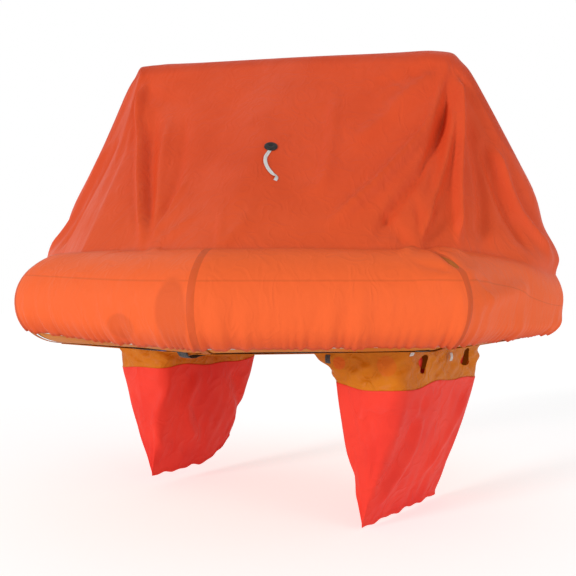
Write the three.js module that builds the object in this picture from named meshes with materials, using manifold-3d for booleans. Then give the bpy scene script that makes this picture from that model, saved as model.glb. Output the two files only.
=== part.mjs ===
// Inflated canopied liferaft: one ring of buoyancy tube with a tent over an inflated arch,
// and two open ballast bags that hang in the water under the floor.
// Millimetres. +X runs along the ridge, -Y is the closed front of the tent, +Z is up.
// The origin is the centre of the floor's underside.
import * as THREE from 'three';
import { mergeVertices } from 'three/addons/utils/BufferGeometryUtils.js';
import Module from 'manifold-3d';

const wasm = await Module();
wasm.setup();

// Running clearance between neighbours that touch on the real raft
const GAP = 0.3;

// Buoyancy tube and floor
const RING_SIDES = 8;
const RING_CORNER_RADIUS = 933;
const TUBE_RADIUS = 150;
const TUBE_FACETS = 24;
const FLOOR_THICKNESS = 4;
const FLOOR_LAP = 4;
const TAPE_WIDTH = 30;
const TAPE_THICKNESS = 1.5;

// Inflated arch
const ARCH_RADIUS = 90;
const ARCH_FACETS = 24;
const ARCH_TOP_HEIGHT = 1043;
const ARCH_CORNER_X = 620;
const ARCH_KNEE_X = 902;
const ARCH_KNEE_HEIGHT = 506;
const ARCH_CORNER_TRIM = 70;
const ARCH_KNEE_TRIM = 60;
const ARCH_PATCH_RADIUS = 128;
const ARCH_PATCH_THICKNESS = 2;

// Canopy cloth, drawn at the thickness of its doubled seams
const CANOPY_THICKNESS = 4;
const CANOPY_SAG = 14;
const LEG_STANDOFF = 9;
const CREASE_ANGLE = 108;
const CREASE_ANGLE_AT_ARCH = 36;
const CREASE_LIFT = 16;
const HEM_ANGLE = -63;
const HEM_RIPPLE = 2.2;
const HEM_CORD_RADIUS = 3;
const FOLD_DEPTH = 9;
const STEPS_PER_SIDE = 8;
const ARCH_WRAP_ROWS = 4;
const PANEL_ROWS = 8;
const TUBE_WRAP_ROWS = 12;

// Doorway at the back of the tent, with its rolled flap
const DOOR_HALF_WIDTH = 300;
const DOOR_SILL_HEIGHT = 365;
const DOOR_TOP_HEIGHT = 820;
const DOOR_CORNER_RADIUS = 90;
const DOOR_FRONT_Y = 150;
const FLAP_ROLL_RADIUS = 30;
const FLAP_PANEL_SHARE = 0.27;
const FLAP_HALF_SPAN = 0.52;
const FLAP_STEPS = 10;
const TIE_WIDTH = 25;
const TIE_THICKNESS = 2;
const TIE_SLACK = 1.4;
const TIE_SPAN_SHARE = 0.6;

// Drain in the front panel: black flange with a tape pull
const DRAIN_SIDE_POSITION = 1.88;
const DRAIN_PANEL_SHARE = 0.5;
const DRAIN_RADIUS_ACROSS = 23;
const DRAIN_RADIUS_DOWN = 19;
const DRAIN_HEIGHT = 6;
const DRAIN_BORE_RADIUS = 6;
const PULL_TAPE_WIDTH = 13;
const PULL_TAPE_THICKNESS = 1;
const PULL_TAPE_LIFT = 1;
const DRAIN_SEAT = 0.8;
// Across and down the panel from the drain's centre
const PULL_TAPE_ROUTE = [
  [-4, 20], [-9, 33], [-17, 52], [-21, 66], [-22, 84], [-19, 104], [-11, 128], [3, 152], [16, 168], [10, 186],
];

// Ballast bags
const BAG_HEADING = -22.5;
const BAG_WALL = 3;
const COLLAR_HEIGHT = 140;
const BAG_HALF_WIDTH = 310;
const COLLAR_FLARE = 26;
const BAG_INNER_EDGE = 435;
const BAG_OUTER_EDGE = 718;
const BAG_SEAM_RADIUS = 543;
const BAG_SEAM_HALF_WIDTH = 278;
const BAG_ROWS = 6;
const BAG_END_STEPS = 4;
const BAG_LONG_STEPS = 8;
const BAG_DROP = [640, 612];
const BAG_FAR_TIP_RISE = [0, 66];
const BAG_INWARD_SHIFT = [0, 30];
const BAG_FOLD_DEPTH = 12;
const WATER_HOLE_RADIUS = 33;
const WATER_HOLE_DROP = 62;
const WATER_HOLE_OFFSETS = [-170, 170];
const BAG_TAB_WIDTH = 26;
const BAG_TAB_LENGTH = 24;
const BAG_TAB_THICKNESS = 3;
const BAG_TAB_OFFSET = 280;

// Webbing under the floor
const RIGHTING_STRAP_OFFSET = 250;
const RIGHTING_STRAP_WIDTH = 42;
const RIGHTING_STRAP_THICKNESS = 2.5;
const RIGHTING_STRAP_SAG = 34;
// Where the strap is sewn to the tube's underside
const STRAP_SEAT_LENGTH = 20;
// Shares of the way to the middle, with the shares of the sag reached there
const STRAP_SLACK = [[0.02, 0.5], [0.06, 0.7], [0.16, 1], [0.5, 1.15]];
const HANDLE_STRAP_LENGTH = 112;
const HANDLE_STRAP_WIDTH = 20;
const HANDLE_STRAP_CENTRE = 0.64;
const TAG_LENGTH = 24;
const RETRIEVAL_STRAP_LENGTH = 44;

// Inflation gear under the floor at the back
const CYLINDER_RADIUS = 50;
const CYLINDER_LENGTH = 360;
const CYLINDER_Y = 560;
const CYLINDER_DOME = 34;
const CYLINDER_NECK_RADIUS = 17;
const CYLINDER_NECK_LENGTH = 16;
const HEAD_LENGTH = 46;
const HOSE_START_REACH = 130;
const HOSE_END_REACH = 70;
const HEAD_RADIUS = 22;
const CYLINDER_STRAP_WIDTH = 38;
const CYLINDER_STRAP_THICKNESS = 2;
const CYLINDER_STRAP_SPREAD = 105;
const HOSE_RADIUS = 7;
const INLET_RADIUS = 15;
const INLET_HEIGHT = 16;
const INLET_SIDE_SHARE = 0.34;

// Topping-up and relief valves on the inner side of the tube
const VALVE_BASE_RADIUS = 34;
const VALVE_BASE_HEIGHT = 5;
const VALVE_BODY_RADIUS = 22;
const VALVE_BODY_HEIGHT = 14;
const VALVE_CAP_RADIUS = 19;
const VALVE_CAP_HEIGHT = 9;
const VALVE_WING_LENGTH = 30;
const VALVE_WING_WIDTH = 7;
const VALVE_WING_HEIGHT = 9;
const VALVE_ELEVATION = 28;
const RELIEF_RADIUS = 24;
const RELIEF_HEIGHT = 15;
// Counted in sides of the ring from the +X corner, round the front
const TOPUP_POSITIONS = [6.3, 6.55];
const RELIEF_POSITIONS = [5.7, 5.45];

// Colours
const ORANGE_CLOTH = 0xdb532d;
const TUBE_FABRIC = 0xd9822b;
const FLOOR_FABRIC = 0xc77021;
const COLLAR_CLOTH = 0xc8751a;
const BAG_CLOTH = 0xd93228;
const BLACK_WEBBING = 0x17181a;
const GREY_WEBBING = 0x4a4d50;
const WHITE_WEBBING = 0xe4e4e0;
const BLUE_TAG = 0x2547a0;
const BLACK_RUBBER = 0x101112;
const VALVE_PLASTIC = 0xe2a21c;
const CYLINDER_PAINT = 0x7d8488;
const BRASS = 0xb08a45;

// Values worked out from the sizes above
const HALF_CORNER = Math.PI / RING_SIDES;
const RING_APOTHEM = RING_CORNER_RADIUS * Math.cos(HALF_CORNER);
const SIDE_LENGTH = 2 * RING_CORNER_RADIUS * Math.sin(HALF_CORNER);
const TAPE_OUTER = TUBE_RADIUS + GAP + TAPE_THICKNESS;
const TUBE_HEIGHT = FLOOR_THICKNESS + GAP + TAPE_OUTER;
const DRESSED_TUBE = TUBE_RADIUS + GAP + Math.max(TAPE_THICKNESS, ARCH_PATCH_THICKNESS) + GAP;
const TUBE_ROW_TURN = radians((CREASE_ANGLE - HEM_ANGLE) / TUBE_WRAP_ROWS);
const ARCH_ROW_TURN = Math.PI / 2 / ARCH_WRAP_ROWS;
const CANOPY_ON_TUBE = DRESSED_TUBE / Math.cos(TUBE_ROW_TURN / 2) + CANOPY_THICKNESS;
const CANOPY_ON_ARCH = (ARCH_RADIUS + GAP) / Math.cos(ARCH_ROW_TURN / 2) + CANOPY_THICKNESS;
const HEM_RADIUS = Math.max(CANOPY_ON_TUBE - CANOPY_THICKNESS / 2, DRESSED_TUBE + HEM_CORD_RADIUS);
const HALF_SIDES = RING_SIDES / 2;
// The middle of the last facet before the tube's lowest line
const UNDERSIDE_ANGLE = -90 + 180 / TUBE_FACETS;
const UNDERSIDE_SEAT = TUBE_RADIUS * Math.cos(Math.PI / TUBE_FACETS) + GAP;
const COLUMNS = RING_SIDES * STEPS_PER_SIDE;
const ARCH_BEND_STEPS = STEPS_PER_SIDE / 2;
const UP = new THREE.Vector3(0, 0, 1);

const part = new THREE.Group();

function finish(color, roughness, metalness = 0) {
  return new THREE.MeshStandardMaterial({ color, roughness, metalness });
}

function addPiece(name, geometry, material) {
  const mesh = new THREE.Mesh(geometry, material);
  mesh.name = name;
  part.add(mesh);
  return mesh;
}

function radians(degrees) {
  return THREE.MathUtils.degToRad(degrees);
}

function smooth(value) {
  return THREE.MathUtils.smoothstep(value, 0, 1);
}

// A closed mesh with shared corners, its collapsed triangles left out and its faces outwards.
function closedGeometry(points, triangles) {
  const keys = new Map();
  const merged = [];
  const renamed = points.map((point) => {
    const key = [point.x, point.y, point.z].map((value) => Math.round(value * 1000)).join(' ');
    if (!keys.has(key)) {
      keys.set(key, merged.length);
      merged.push(point);
    }
    return keys.get(key);
  });
  const kept = triangles
    .map((triangle) => triangle.map((corner) => renamed[corner]))
    .filter(([a, b, c]) => a !== b && b !== c && c !== a);
  const volume = kept.reduce((sum, [a, b, c]) => (
    sum + merged[a].dot(new THREE.Vector3().crossVectors(merged[b], merged[c]))
  ), 0);
  const index = kept.flatMap(([a, b, c]) => (volume < 0 ? [a, c, b] : [a, b, c]));
  const geometry = new THREE.BufferGeometry();
  geometry.setAttribute('position', new THREE.Float32BufferAttribute(
    merged.flatMap((point) => [point.x, point.y, point.z]), 3));
  geometry.setIndex(index);
  return geometry;
}

// Quads between neighbouring rows of points; a looped row closes on itself.
function stripTriangles(rowCount, rowLength, rowAt, flipped = false) {
  const triangles = [];
  for (let row = 0; row < rowCount; row += 1) {
    for (let step = 0; step < rowLength; step += 1) {
      const a = rowAt(row, step);
      const b = rowAt(row, step + 1);
      const c = rowAt(row + 1, step + 1);
      const d = rowAt(row + 1, step);
      triangles.push(...(flipped ? [[a, c, b], [a, d, c]] : [[a, b, c], [a, c, d]]));
    }
  }
  return triangles;
}

// Rings of points joined into one solid, either capped at both ends or joined end to end.
function loft(rings, joined = false) {
  const length = rings[0].length;
  const points = rings.flat();
  const at = (row, step) => (row % rings.length) * length + (step % length);
  const triangles = stripTriangles(joined ? rings.length : rings.length - 1, length, at);
  if (!joined) {
    [0, rings.length - 1].forEach((row) => {
      const centre = new THREE.Vector3();
      rings[row].forEach((point) => centre.addScaledVector(point, 1 / length));
      const hub = points.push(centre) - 1;
      for (let step = 0; step < length; step += 1) {
        const edge = [at(row, step + 1), at(row, step)];
        triangles.push(row === 0 ? [hub, edge[0], edge[1]] : [hub, edge[1], edge[0]]);
      }
    });
  }
  return closedGeometry(points, triangles);
}

// A cloth shell: columns run round it, each from its closed seam to its open rim.
function clothShell(outer, inner) {
  const rows = outer[0].length;
  const columns = outer.length;
  const points = [...outer.flat(), ...inner.flat()];
  const outerAt = (row, step) => (step % columns) * rows + row;
  const innerAt = (row, step) => columns * rows + outerAt(row, step);
  const rimAt = (row, step) => (row === 0 ? outerAt(rows - 1, step) : innerAt(rows - 1, step));
  return closedGeometry(points, [
    ...stripTriangles(rows - 1, columns, outerAt),
    ...stripTriangles(rows - 1, columns, innerAt, true),
    ...stripTriangles(1, columns, rimAt),
  ]);
}

function toManifold(geometry) {
  const bare = geometry.clone();
  bare.deleteAttribute('normal');
  bare.deleteAttribute('uv');
  const merged = mergeVertices(bare, 1e-3);
  return new wasm.Manifold(new wasm.Mesh({
    numProp: 3,
    vertProperties: new Float32Array(merged.attributes.position.array),
    triVerts: new Uint32Array(merged.index.array),
  }));
}

function fromManifold(solid) {
  const mesh = solid.getMesh();
  const geometry = new THREE.BufferGeometry();
  geometry.setAttribute('position', new THREE.Float32BufferAttribute(Array.from(mesh.vertProperties), 3));
  geometry.setIndex(Array.from(mesh.triVerts));
  return geometry;
}

function cutAway(geometry, ...tools) {
  const solid = tools.reduce((left, tool) => left.subtract(toManifold(tool)), toManifold(geometry));
  return fromManifold(solid);
}

// The ring's centre line. A position counts sides from the +X corner, round the front.
function ringStation(position) {
  const lap = ((position % RING_SIDES) + RING_SIDES) % RING_SIDES;
  const side = Math.floor(lap + 1e-9);
  const share = Math.max(0, lap - side);
  const corner = (number) => {
    const angle = -number * 2 * HALF_CORNER;
    return new THREE.Vector3(Math.cos(angle), Math.sin(angle), 0).multiplyScalar(RING_CORNER_RADIUS);
  };
  const centre = corner(side).lerp(corner(side + 1), share);
  centre.z = TUBE_HEIGHT;
  const onCorner = share < 1e-6;
  const angle = -(side + (onCorner ? 0 : 0.5)) * 2 * HALF_CORNER;
  const normal = new THREE.Vector3(Math.cos(angle), Math.sin(angle), 0);
  return { centre, normal, stretch: onCorner ? 1 / Math.cos(HALF_CORNER) : 1 };
}

// A point at an angle round the tube: 0 faces out, 90 is the top.
function tubePoint(position, degrees, radius) {
  const { centre, normal, stretch } = ringStation(position);
  return centre.clone()
    .addScaledVector(normal, radius * Math.cos(radians(degrees)) * stretch)
    .addScaledVector(UP, radius * Math.sin(radians(degrees)));
}

function ringGeometry(radius, facets) {
  const rings = [];
  for (let corner = 0; corner < RING_SIDES; corner += 1) {
    const ring = [];
    for (let facet = 0; facet < facets; facet += 1) {
      ring.push(tubePoint(corner, (360 * facet) / facets, radius));
    }
    rings.push(ring);
  }
  return loft(rings, true);
}

// Tape over one mitred joint, folded at the mitre.
function tapeGeometry(corner) {
  const inner = TUBE_RADIUS + GAP;
  const rings = [];
  for (let facet = 0; facet < TUBE_FACETS; facet += 1) {
    const degrees = (360 * facet) / TUBE_FACETS;
    const fold = (radius) => tubePoint(corner, degrees, radius);
    const edge = (radius, way) => {
      const middle = fold(radius);
      const along = ringStation(corner + way * 0.5).centre.sub(ringStation(corner).centre);
      return middle.addScaledVector(along.normalize(), TAPE_WIDTH / 2);
    };
    rings.push([
      edge(inner, -1), fold(inner), edge(inner, 1),
      edge(TAPE_OUTER, 1), fold(TAPE_OUTER), edge(TAPE_OUTER, -1),
    ]);
  }
  return loft(rings, true);
}

// A curve that rounds a corner of the arch, starting and ending at the trim from it.
function roundedCorner(before, corner, after, trim) {
  const start = corner.clone().add(before.clone().sub(corner).setLength(trim));
  const end = corner.clone().add(after.clone().sub(corner).setLength(trim));
  return new THREE.QuadraticBezierCurve(start, corner, end);
}

// The +X half of the arch's centre line, from its foot to the middle of the ridge
const archFoot = new THREE.Vector2(RING_CORNER_RADIUS, TUBE_HEIGHT);
const archKnee = new THREE.Vector2(ARCH_KNEE_X, ARCH_KNEE_HEIGHT);
const archCorner = new THREE.Vector2(ARCH_CORNER_X, ARCH_TOP_HEIGHT);
const archTop = new THREE.Vector2(0, ARCH_TOP_HEIGHT);
const kneeBend = roundedCorner(archFoot, archKnee, archCorner, ARCH_KNEE_TRIM);
const cornerBend = roundedCorner(archKnee, archCorner, archTop, ARCH_CORNER_TRIM);

function straight(from, to) {
  return new THREE.LineCurve(from, to);
}

const archLeg = straight(archKnee, cornerBend.v0);
const ridgeHalf = straight(cornerBend.v2, archTop);

// A station of the canopy's seat on the arch, mirrored for the -X half.
function archStation(position) {
  const half = position <= HALF_SIDES / 2 ? position : HALF_SIDES - position;
  const mirror = position <= HALF_SIDES / 2 ? 1 : -1;
  const stretches = [[archLeg, 0, 0.5], [cornerBend, 0.5, 1], [ridgeHalf, 1, HALF_SIDES / 2]];
  const [curve, from, to] = stretches.find(([, , end]) => half <= end);
  const share = (half - from) / (to - from);
  const point = curve.getPoint(share);
  const tangent = curve.getTangent(share);
  return {
    centre: new THREE.Vector3(point.x * mirror, 0, point.y),
    outward: new THREE.Vector3(tangent.y * mirror, 0, -tangent.x),
  };
}

const archHalf = [archFoot, ...kneeBend.getPoints(ARCH_BEND_STEPS), ...cornerBend.getPoints(ARCH_BEND_STEPS)];
const archCentres = [
  ...archHalf.map((point) => new THREE.Vector3(point.x, 0, point.y)),
  ...archHalf.toReversed().map((point) => new THREE.Vector3(-point.x, 0, point.y)),
];

// Cloth that would pass through the arch is pushed out of it.
function heldOffArch(point, radius) {
  let nearest = null;
  for (let step = 1; step < archCentres.length; step += 1) {
    const line = new THREE.Line3(archCentres[step - 1], archCentres[step]);
    const candidate = line.closestPointToPoint(point, true, new THREE.Vector3());
    if (!nearest || candidate.distanceTo(point) < nearest.distanceTo(point)) nearest = candidate;
  }
  const away = point.clone().sub(nearest);
  return away.length() < radius ? nearest.add(away.setLength(radius)) : point;
}

function creaseAngle(position) {
  const nearest = Math.min(position, HALF_SIDES - position);
  const share = smooth(Math.min(nearest, 1));
  return THREE.MathUtils.lerp(CREASE_ANGLE_AT_ARCH, CREASE_ANGLE, share);
}

// How far the cloth stands in or out of its drawn lines: soft folds that fan from the ridge corners.
function foldRelief(position, share) {
  const nearest = Math.min(position, HALF_SIDES - position);
  const reach = smooth(Math.min(nearest / 0.6, 1));
  const fan = Math.cos(nearest * 2 * Math.PI * 1.5) + 0.5 * Math.cos(nearest * 2 * Math.PI * 2.5 + 1);
  return FOLD_DEPTH * reach * fan * Math.sin(Math.PI * Math.min(share * 1.1, 1)) * 0.5;
}

// The cloth wraps further round the arch the further it is from the foot of a leg.
function wrapLimit(position) {
  const nearest = Math.min(position, HALF_SIDES - position);
  return (Math.PI / 2) * smooth(Math.min(nearest / 0.5, 1));
}

// One half of the canopy: side is -1 for the front and +1 for the back.
// The inset moves a point in from the outer face.
function canopySection(position, side, inset) {
  const { centre, outward } = archStation(position);
  const across = new THREE.Vector3(0, side, 0);
  const creaseFrom = creaseAngle(position);
  const mirrored = (point) => new THREE.Vector3(point.x, point.y * -side, point.z);
  const onTube = (degrees, lift) => mirrored(tubePoint(position, degrees, CANOPY_ON_TUBE - inset + lift));
  const drawn = mirrored(tubePoint(position, creaseFrom, CANOPY_ON_TUBE)).sub(centre);
  const height = drawn.dot(outward);
  const depth = drawn.dot(across);
  const tangency = Math.acos(Math.min(1, CANOPY_ON_ARCH / Math.hypot(height, depth)));
  const leaving = THREE.MathUtils.clamp(Math.atan2(depth, height) - tangency, 0, wrapLimit(position));
  const facing = (angle) => outward.clone().multiplyScalar(Math.cos(angle))
    .addScaledVector(across, Math.sin(angle));
  const onArch = (angle) => centre.clone().addScaledVector(facing(angle), CANOPY_ON_ARCH - inset);
  const nearest = Math.min(position, HALF_SIDES - position);
  const standoff = LEG_STANDOFF * (1 - smooth(nearest - 0.4));
  const held = (point) => heldOffArch(point, CANOPY_ON_ARCH - inset + standoff);
  const liftHere = CREASE_LIFT * smooth(Math.min(nearest, 1));
  const top = onArch(leaving);
  const foot = onTube(creaseFrom, liftHere);
  const sag = CANOPY_SAG * smooth(Math.min(nearest, 1));
  return {
    wrap: (share) => held(onArch(leaving * share)),
    panel: (share) => held(top.clone().lerp(foot, share).addScaledVector(
      facing(leaving), foldRelief(position, share) - 4 * sag * share * (1 - share))),
    tube: (share, ripple) => onTube(
      THREE.MathUtils.lerp(creaseFrom, HEM_ANGLE, share), liftHere * (1 - smooth(share * 2.5)) + ripple),
    outwards: facing(leaving),
  };
}

// A place on a panel: its point, the ways down and along it, and its outward normal.
function panelFrame(position, side, share, lift) {
  const pointAt = (beside, down) => canopySection(position + beside, side, 0).panel(share + down);
  const step = 0.02;
  const down = pointAt(0, step).sub(pointAt(0, -step)).normalize();
  const along = pointAt(-step, 0).sub(pointAt(step, 0)).normalize();
  const out = new THREE.Vector3().crossVectors(down, along).multiplyScalar(-side).normalize();
  return { centre: pointAt(0, 0).addScaledVector(out, lift), down, along, out };
}

function columnPlace(column) {
  const lap = (column % COLUMNS) / STEPS_PER_SIDE;
  return lap <= HALF_SIDES ? { position: lap, side: -1 } : { position: RING_SIDES - lap, side: 1 };
}

function hemRipple(column, share) {
  const gather = column % 2 === 0 ? 1 : -1;
  return gather * HEM_RIPPLE * smooth((share - 0.55) / 0.45);
}

function canopyColumns(inset) {
  const columns = [];
  for (let column = 0; column < COLUMNS; column += 1) {
    const { position, side } = columnPlace(column);
    const section = canopySection(position, side, inset);
    const points = [];
    for (let row = 0; row < ARCH_WRAP_ROWS; row += 1) points.push(section.wrap(row / ARCH_WRAP_ROWS));
    for (let row = 0; row < PANEL_ROWS; row += 1) points.push(section.panel(row / PANEL_ROWS));
    for (let row = 0; row <= TUBE_WRAP_ROWS; row += 1) {
      const share = row / TUBE_WRAP_ROWS;
      points.push(section.tube(share, Math.max(hemRipple(column, share), 0)));
    }
    columns.push(points);
  }
  return columns;
}

// A flat prism along +Y with rounded corners, for the doorway's cut.
function doorwayCut() {
  const shape = new THREE.Shape();
  const left = -DOOR_HALF_WIDTH;
  const right = DOOR_HALF_WIDTH;
  const corner = DOOR_CORNER_RADIUS;
  shape.moveTo(left, -DOOR_SILL_HEIGHT);
  shape.lineTo(right, -DOOR_SILL_HEIGHT);
  shape.lineTo(right, -DOOR_TOP_HEIGHT + corner);
  shape.absarc(right - corner, -DOOR_TOP_HEIGHT + corner, corner, 0, -Math.PI / 2, true);
  shape.lineTo(left + corner, -DOOR_TOP_HEIGHT);
  shape.absarc(left + corner, -DOOR_TOP_HEIGHT + corner, corner, -Math.PI / 2, -Math.PI, true);
  shape.closePath();
  const reach = RING_CORNER_RADIUS + 2 * TUBE_RADIUS - DOOR_FRONT_Y;
  const geometry = new THREE.ExtrudeGeometry(shape, { depth: reach, bevelEnabled: false, curveSegments: 6 });
  geometry.rotateX(-Math.PI / 2);
  geometry.translate(0, DOOR_FRONT_Y, 0);
  return geometry;
}

// Sections round a path: at each point, across and rise give the section's two directions.
function sweep(path, sectionAt) {
  return loft(path.map((point, step) => sectionAt(step).map(([across, rise], _, section) => (
    point.centre.clone().addScaledVector(point.across, across).addScaledVector(point.rise, rise)
  ))));
}

function roundSection(radius, facets) {
  const section = [];
  for (let facet = 0; facet < facets; facet += 1) {
    const angle = (2 * Math.PI * facet) / facets;
    section.push([radius * Math.cos(angle), radius * Math.sin(angle)]);
  }
  return section;
}

function flatSection(width, thickness) {
  const a = width / 2;
  const b = thickness / 2;
  return [[-a, -b], [a, -b], [a, b], [-a, b]];
}

// Directions of a path's sections: rise follows the given hint as nearly as it can.
function framePath(centres, hints) {
  return centres.map((centre, step) => {
    const before = centres[Math.max(step - 1, 0)];
    const after = centres[Math.min(step + 1, centres.length - 1)];
    const tangent = after.clone().sub(before).normalize();
    const hint = Array.isArray(hints) ? hints[step] : hints;
    const across = new THREE.Vector3().crossVectors(hint, tangent).normalize();
    const rise = new THREE.Vector3().crossVectors(tangent, across).normalize();
    return { centre, across, rise, tangent };
  });
}

// Buoyancy tube, joint tapes and floor
addPiece('buoyancy_tube', ringGeometry(TUBE_RADIUS, TUBE_FACETS), finish(TUBE_FABRIC, 0.6));

function archPatch(way) {
  const shell = toManifold(ringGeometry(TUBE_RADIUS + GAP + ARCH_PATCH_THICKNESS, TUBE_FACETS))
    .subtract(toManifold(ringGeometry(TUBE_RADIUS + GAP, TUBE_FACETS)));
  const column = new THREE.CylinderGeometry(ARCH_PATCH_RADIUS, ARCH_PATCH_RADIUS, 4 * TUBE_RADIUS, 24);
  column.rotateX(Math.PI / 2);
  column.translate(way * RING_CORNER_RADIUS, 0, TUBE_HEIGHT + 2 * TUBE_RADIUS);
  return shell.intersect(toManifold(column));
}

for (let corner = 0; corner < RING_SIDES; corner += 1) {
  const tape = tapeGeometry(corner);
  const carriesArch = corner % HALF_SIDES === 0;
  const geometry = carriesArch
    ? fromManifold(toManifold(tape).add(archPatch(corner === 0 ? 1 : -1)))
    : tape;
  addPiece(`joint_tape_${corner + 1}`, geometry, finish(TUBE_FABRIC, 0.55));
}

const floorShape = new THREE.Shape();
for (let corner = 0; corner < RING_SIDES; corner += 1) {
  const reach = (RING_APOTHEM + FLOOR_LAP) / Math.cos(HALF_CORNER);
  const angle = corner * 2 * HALF_CORNER;
  floorShape[corner === 0 ? 'moveTo' : 'lineTo'](reach * Math.cos(angle), reach * Math.sin(angle));
}
floorShape.closePath();
addPiece('floor', new THREE.ExtrudeGeometry(floorShape, { depth: FLOOR_THICKNESS, bevelEnabled: false }),
  finish(FLOOR_FABRIC, 0.7));

// Inflated arch, seated on the tube over the patches
const archSection = roundSection(ARCH_RADIUS, ARCH_FACETS);
const archSeat = ringGeometry(TUBE_RADIUS + GAP + ARCH_PATCH_THICKNESS + GAP, TUBE_FACETS);
addPiece('arch_tube',
  cutAway(sweep(framePath(archCentres, new THREE.Vector3(0, 1, 0)), () => archSection), archSeat),
  finish(TUBE_FABRIC, 0.6));

// Canopy with its doorway, and the elastic cord in its hem
addPiece('canopy',
  cutAway(clothShell(canopyColumns(0), canopyColumns(CANOPY_THICKNESS)), doorwayCut()),
  finish(ORANGE_CLOTH, 0.75));

const hemRings = [];
for (let column = 0; column < COLUMNS; column += 1) {
  const { position, side } = columnPlace(column);
  const drop = (HEM_CORD_RADIUS + GAP) / HEM_RADIUS;
  const ripple = Math.max(hemRipple(column, 1), 0);
  const turn = radians(HEM_ANGLE) - drop;
  const { normal, stretch } = ringStation(position);
  const middle = tubePoint(position, THREE.MathUtils.radToDeg(turn), HEM_RADIUS + ripple);
  hemRings.push(roundSection(HEM_CORD_RADIUS, 6).map(([across, rise]) => {
    const point = middle.clone().addScaledVector(normal, across * stretch).addScaledVector(UP, rise);
    return new THREE.Vector3(point.x, point.y * -side, point.z);
  }));
}
addPiece('hem_cord', loft(hemRings, true), finish(WHITE_WEBBING, 0.8));

// Door flap, rolled up over the doorway and held by two ties
const tieInner = FLAP_ROLL_RADIUS + GAP + TIE_SLACK;
const flapLift = tieInner + TIE_THICKNESS + GAP + TIE_SLACK;
function flapPlace(position) {
  return panelFrame(position, 1, FLAP_PANEL_SHARE, flapLift);
}
const flapPositions = [];
for (let step = 0; step <= FLAP_STEPS; step += 1) {
  flapPositions.push(HALF_SIDES / 2 + FLAP_HALF_SPAN * ((2 * step) / FLAP_STEPS - 1));
}
const flapPlaces = flapPositions.map(flapPlace);
const flapPath = framePath(flapPlaces.map(({ centre }) => centre), flapPlaces.map(({ out }) => out));
addPiece('door_flap_roll',
  sweep(flapPath, () => roundSection(FLAP_ROLL_RADIUS, 16)),
  finish(ORANGE_CLOTH, 0.75));

function tieGeometry(way) {
  const position = HALF_SIDES / 2 + way * FLAP_HALF_SPAN * TIE_SPAN_SHARE;
  const span = 0.02;
  const nearby = [position - span, position, position + span].map(flapPlace);
  const place = framePath(nearby.map(({ centre }) => centre), nearby.map(({ out }) => out))[1];
  const loop = (radius, shift) => roundSection(radius, 20).map(([across, rise]) => (
    place.centre.clone()
      .addScaledVector(place.across, across)
      .addScaledVector(place.rise, rise)
      .addScaledVector(place.tangent, shift)
  ));
  const tieOuter = tieInner + TIE_THICKNESS;
  const rings = [
    loop(tieInner, -TIE_WIDTH / 2), loop(tieInner, TIE_WIDTH / 2),
    loop(tieOuter, TIE_WIDTH / 2), loop(tieOuter, -TIE_WIDTH / 2),
  ];
  return loft(rings, true);
}
addPiece('door_tie_1', tieGeometry(-1), finish(WHITE_WEBBING, 0.8));
addPiece('door_tie_2', tieGeometry(1), finish(WHITE_WEBBING, 0.8));

// Drain in the front panel, with the tape that pulls it
const drainFrame = panelFrame(DRAIN_SIDE_POSITION, -1, DRAIN_PANEL_SHARE, DRAIN_SEAT);
const drainProfile = [
  [DRAIN_BORE_RADIUS, 0], [DRAIN_RADIUS_ACROSS, 0], [DRAIN_RADIUS_ACROSS - 1, DRAIN_HEIGHT * 0.4],
  [DRAIN_RADIUS_ACROSS * 0.7, DRAIN_HEIGHT], [DRAIN_BORE_RADIUS, DRAIN_HEIGHT * 0.7], [DRAIN_BORE_RADIUS, 0],
].map(([radius, height]) => new THREE.Vector2(radius, height));
const drainGeometry = new THREE.LatheGeometry(drainProfile, 28);
drainGeometry.scale(1, 1, DRAIN_RADIUS_DOWN / DRAIN_RADIUS_ACROSS);
const drainMatrix = new THREE.Matrix4().makeBasis(
  drainFrame.along, drainFrame.out, new THREE.Vector3().crossVectors(drainFrame.along, drainFrame.out));
drainGeometry.applyMatrix4(drainMatrix);
drainGeometry.translate(...drainFrame.centre.toArray());
addPiece('drain_flange', drainGeometry, finish(BLACK_RUBBER, 0.45));

const pullCentres = PULL_TAPE_ROUTE.map(([beside, down]) => (
  drainFrame.centre.clone()
    .addScaledVector(drainFrame.along, beside)
    .addScaledVector(drainFrame.down, down)
    .addScaledVector(drainFrame.out, PULL_TAPE_LIFT)
));
addPiece('drain_tape',
  sweep(framePath(pullCentres, drainFrame.out), () => flatSection(PULL_TAPE_WIDTH, PULL_TAPE_THICKNESS)),
  finish(WHITE_WEBBING, 0.8));

// Ballast bags: a collar sewn round the mouth and a V-shaped bag that ends in a seam
function bagOutline(level, halfWidth, innerEdge, outerEdge, inset) {
  const long = halfWidth - inset;
  const inner = innerEdge + inset;
  const outer = outerEdge - inset;
  const outline = [];
  const edge = (from, to, steps) => {
    for (let step = 0; step < steps; step += 1) {
      const share = step / steps;
      outline.push([from[0] + (to[0] - from[0]) * share, from[1] + (to[1] - from[1]) * share, level]);
    }
  };
  edge([inner, -long], [outer, -long], BAG_END_STEPS);
  edge([outer, -long], [outer, long], BAG_LONG_STEPS);
  edge([outer, long], [inner, long], BAG_END_STEPS);
  edge([inner, long], [inner, -long], BAG_LONG_STEPS);
  return outline;
}

// Bag positions are radial and tangential distances along the bag's heading.
function bagFrame(bag) {
  const heading = radians(BAG_HEADING + 180 * bag);
  const radial = new THREE.Vector3(Math.cos(heading), Math.sin(heading), 0);
  const along = new THREE.Vector3(-Math.sin(heading), Math.cos(heading), 0);
  const shift = BAG_INWARD_SHIFT[bag];
  return (radius, width, height) => (
    new THREE.Vector3(0, 0, height).addScaledVector(radial, radius - shift).addScaledVector(along, width)
  );
}

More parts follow.
